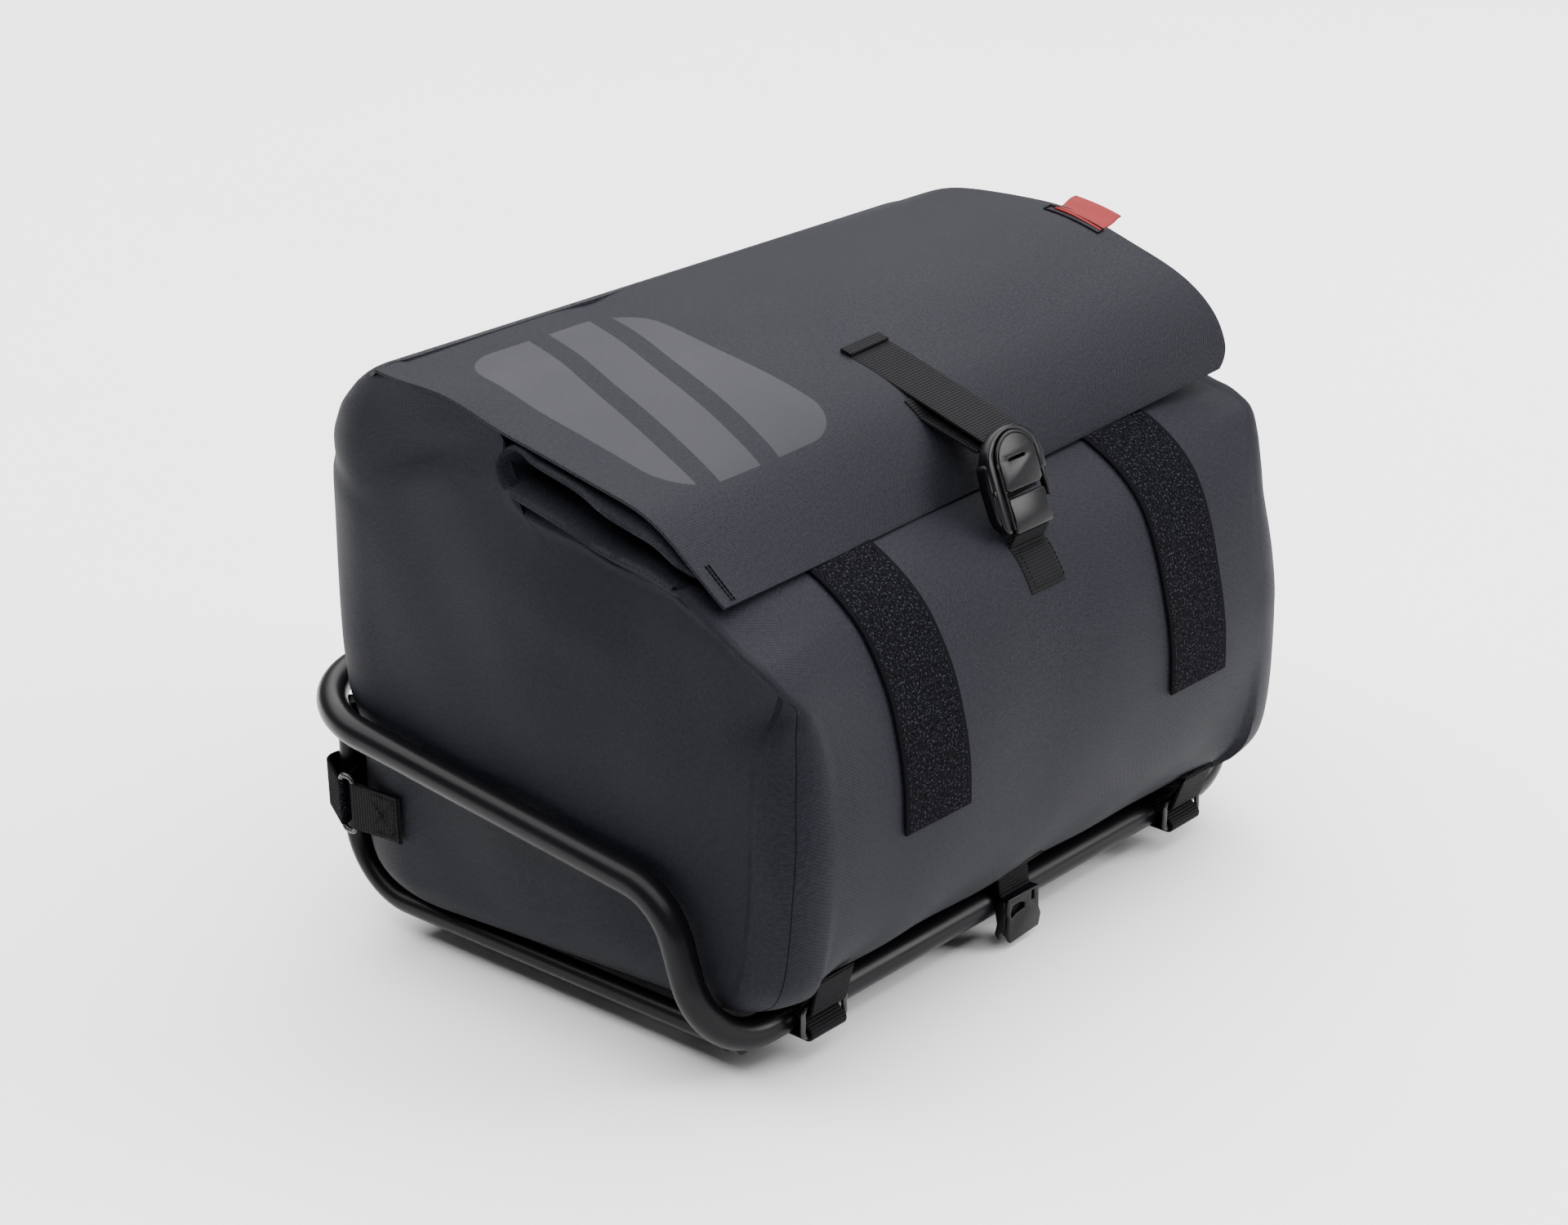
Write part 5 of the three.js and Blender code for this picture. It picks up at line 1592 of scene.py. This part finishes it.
@dataclass
class SeamLines:
    """The fine upright seams at the bag's front corners and the bar tacks at the flap's left corner."""

    flap: Flap
    body: BagBody
    finishes: Finishes
    rods: RodTool
    stitches: StitchTool

    def seam(self, side: int) -> None:
        """Makes and dresses the seam of one front corner."""
        z = np.concatenate([np.linspace(30, 60, 16), np.linspace(64, 192, 50)])
        corner, angle = (0, 225) if side < 0 else (1, 315)
        path = self.body.dents(self.body.corner(corner, angle, z))
        inward = np.array([-side, 1.0, 0]) / math.sqrt(2)
        seam = self.rods.rod(f"corner_seam_{SIDES[side]}", path + inward * 0.1, 0.7, 6, self.finishes.thread)
        dress(seam, self.finishes.thread, Slot.CLOTH)

    def tacks(self) -> None:
        """Makes and dresses the two rows of thread at the flap's left corner."""
        for row, x in enumerate((-192.5, -190.4)):
            line = self.flap.lifted(x, np.linspace(0.895, 0.985, 12), 0.3)
            tack = self.stitches.sew(f"flap_tack_left_{row}", line, (2.2, 2.4, 0.9), 13 + row,
                                     self.finishes.thread)
            dress(tack, self.finishes.thread, Slot.CLOTH)

    def build(self) -> None:
        """Makes every line."""
        self.seam(-1)
        self.tacks()
        self.seam(1)


@dataclass
class Tray:
    """The tray of bent tube: a rim hoop and a welded base."""

    finishes: Finishes
    rods: RodTool
    rim_tube: float = 16.0
    base_tube: float = 12.0
    width: float = 426.0
    depth: float = 288.0
    rim_z: float = 8.0
    base_z: float = 6.0
    bend_rise: float = 76.0
    bend_setback: float = 24.0
    rear_rise: float = 108.0
    base_width: float = 376.0
    post_inset: float = 20.0
    tie_inset: float = 44.0
    skid_length: float = 300.0
    skid_spacing: float = 150.0
    skid_width: float = 20.0
    skid_height: float = 16.0
    rim_bends: tuple[float, float, float] = (60.0, 34.0, 39.0)
    post_bend: float = 38.0

    def rim(self) -> Piece:
        """Makes the rim hoop."""
        x, y = self.width / 2, self.depth / 2
        places = ((y, self.rear_rise), (self.bend_setback - y, self.bend_rise), (-y, 0))
        left = [(-x, along, self.rim_z + rise) for along, rise in places]
        right = [(-p[0], p[1], p[2]) for p in reversed(left)]
        path = rounded_path([*left, *right], [*self.rim_bends, *self.rim_bends[::-1]], True)
        return self.rods.rod("rim_hoop_tube", path, self.rim_tube, 40, self.finishes.tube, True)

    def rod(self, name: str, path: Points, radii: Sequence[float] = ()) -> Piece:
        """Makes one of the base's tubes."""
        points = rounded_path(path, radii, False) if radii else np.array(path, float)
        return self.rods.rod(name, points, self.base_tube, 32, self.finishes.tube)

    def weld(self, name: str, x: float) -> Piece:
        """Makes the small fillet of weld round a tube's end behind the front rail."""
        radius = self.base_tube / 2 + 0.4
        turns = np.linspace(0, FULL_TURN, 28, endpoint=False)
        centre = np.array([x, self.rim_tube / 2 - self.depth / 2 + 0.4, self.base_z])
        ring = np.stack([radius * np.cos(turns), 0 * turns, radius * np.sin(turns)], 1)
        return self.rods.rod(name, centre + ring, 2.2, 10, self.finishes.tube, True)

    def base(self) -> Piece:
        """Makes the welded base: side tubes, bars, tie and skids."""
        y, sx, z = self.depth / 2, self.base_width / 2, self.base_z
        post, tie = y - self.post_inset, y - self.tie_inset
        parts = []
        for side in (-1, 1):
            slope = (self.rear_rise - self.bend_rise) / (2 * y - self.bend_setback)
            top = self.rim_z + self.rear_rise - 4 - (y - post) * slope
            x = side * sx
            run = [(x, post, top), (x, post, z), (x, -y, z)]
            parts.append(self.rod(f"side_{side}", run, [self.post_bend]))
            parts.append(self.weld(f"weld_{side}", x))
        parts.append(self.rod("tie", [(-sx, tie, z), (sx, tie, z)]))
        for k in (-1, 0, 1):
            parts.append(self.rod(f"bar_{k}", [(k * sx / 2, -y, z), (k * sx / 2, tie, z)]))
            parts.append(self.weld(f"bar_weld_{k}", k * sx / 2))
        for end in (-1, 1):
            half, deep = self.skid_length / 2, self.skid_width / 2
            outline = [(-half, -deep), (half, -deep), (half, deep), (-half, deep)]
            under = TRAY_ORIGIN[2] / MM
            skid = slab(f"skid_{end}", outline, -under, self.skid_height - under,
                        Matrix.Translation((0, end * self.skid_spacing / 2, 0)), 1.2)
            skid.data.materials.append(self.finishes.tube)
            parts.append(skid)
        whole = join("base_frame_tubes", parts)
        whole.data.shade_smooth()
        whole.data.set_sharp_from_angle(angle=math.radians(50))
        return whole

    def build(self) -> None:
        """Makes and dresses the tray."""
        dress(self.rim(), self.finishes.tube, Slot.TUBE, "rim_hoop")
        dress(self.base(), self.finishes.tube, Slot.TUBE, "base_frame")


# The picture


@dataclass
class Studio:
    """Floor, lights and the camera at the photograph's place."""

    focal: float = 74.8
    sensor: float = 36.0
    azimuth: float = -48.18
    elevation: float = 21.75
    roll: float = -1.23
    place: tuple[float, float, float] = (-1175.0, -1058.1, 759.5)
    floor_reach: float = 9.0
    world_strength: float = 0.2

    def camera(self) -> None:
        """Sets the camera."""
        a, e, g = math.radians(self.azimuth), math.radians(self.elevation), math.radians(self.roll)
        back = Vector((math.sin(a) * math.cos(e), -math.cos(a) * math.cos(e), math.sin(e)))
        right = Vector((math.cos(a), math.sin(a), 0))
        up = back.cross(right)
        across = right * math.cos(g) + up * math.sin(g)
        upright = up * math.cos(g) - right * math.sin(g)
        data = bpy.data.cameras.new("camera")
        data.lens = self.focal
        data.sensor_width = self.sensor
        camera = link("camera", data)
        turn = Matrix((across, upright, back)).transposed().to_4x4()
        spot = Vector((np.array(self.place) * MM + TRAY_ORIGIN).tolist())
        camera.matrix_world = Matrix.Translation(spot) @ turn
        bpy.context.scene.camera = camera

    def floor(self) -> None:
        """Lays the pale floor."""
        recipe = Recipe("pale_floor")
        shade = recipe.noise(recipe.body(), 3, 2, 0.5)
        colour = recipe.colours(shade, (0.9, 0.9, 0.9), (0.93, 0.93, 0.93))
        mesh = bpy.data.meshes.new("floor")
        reach = self.floor_reach
        mesh.from_pydata([(-reach, -reach, 0), (reach, -reach, 0), (reach, reach, 0), (-reach, reach, 0)], [],
                         [(0, 1, 2, 3)])
        mesh.materials.append(recipe.surface(Base_Color=colour, Roughness=0.9))
        link("floor", mesh)

    def lamp(self, name: str, place: Sequence[float], aim: Sequence[float], size: float,
             power: float) -> None:
        """Hangs a soft square light."""
        data = bpy.data.lights.new(name, "AREA")
        data.size = size
        data.energy = power
        spot = Vector(place)
        turn = (spot - Vector(aim)).to_track_quat("Z", "Y").to_matrix().to_4x4()
        link(name, data).matrix_world = Matrix.Translation(spot) @ turn

    def world(self) -> None:
        """Fills the room with even white light."""
        world = bpy.data.worlds.new("studio")
        world.use_nodes = True
        sky = world.node_tree.nodes["Background"]
        sky.inputs[0].default_value = (1, 1, 1, 1)
        sky.inputs[1].default_value = self.world_strength
        bpy.context.scene.world = world

    def build(self) -> None:
        """Sets the whole stage."""
        self.camera()
        self.floor()
        self.world()
        self.lamp("sky", (1.2, 1.2, 4.0), (1.2, 1.2, 0), 9.0, 1500)
        self.lamp("front", (1.9, -2.5, 1.6), (0, 0, 0.15), 1.6, 120)


def main() -> None:
    """Builds the stage and every piece in order."""
    logging.basicConfig(level=logging.INFO, format="%(name)s %(message)s")
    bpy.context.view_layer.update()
    Studio().build()
    finishes = Finishes()
    rods, stitches = RodTool(), StitchTool()
    body, flap = BagBody(), Flap()
    shell = dress(body.build(), finishes.cloth, Slot.CLOTH, "bag_shell")
    cover = dress(flap.build(), finishes.flap_cloth, Slot.CLOTH, "closing_flap")
    for side, where in SIDES.items():
        dress(GussetFold(side, flap).build(), finishes.cloth, Slot.CLOTH, f"gusset_fold_{where}")
        dress(LoopStrip(side, body).build(), finishes.strip, Slot.LOOP_PILE, f"loop_strip_{where}")
        RailTie(side, body, finishes, rods).build()
        PostTie(side, finishes, rods, stitches).build()
    FlapStrap(flap, body, finishes, rods, stitches).build()
    CentreClip(body, finishes).build()
    SideTag(flap, finishes, stitches).build()
    SeamLines(flap, body, finishes, rods, stitches).build()
    Tray(finishes, rods).build()


if __name__ == "__main__":
    main()
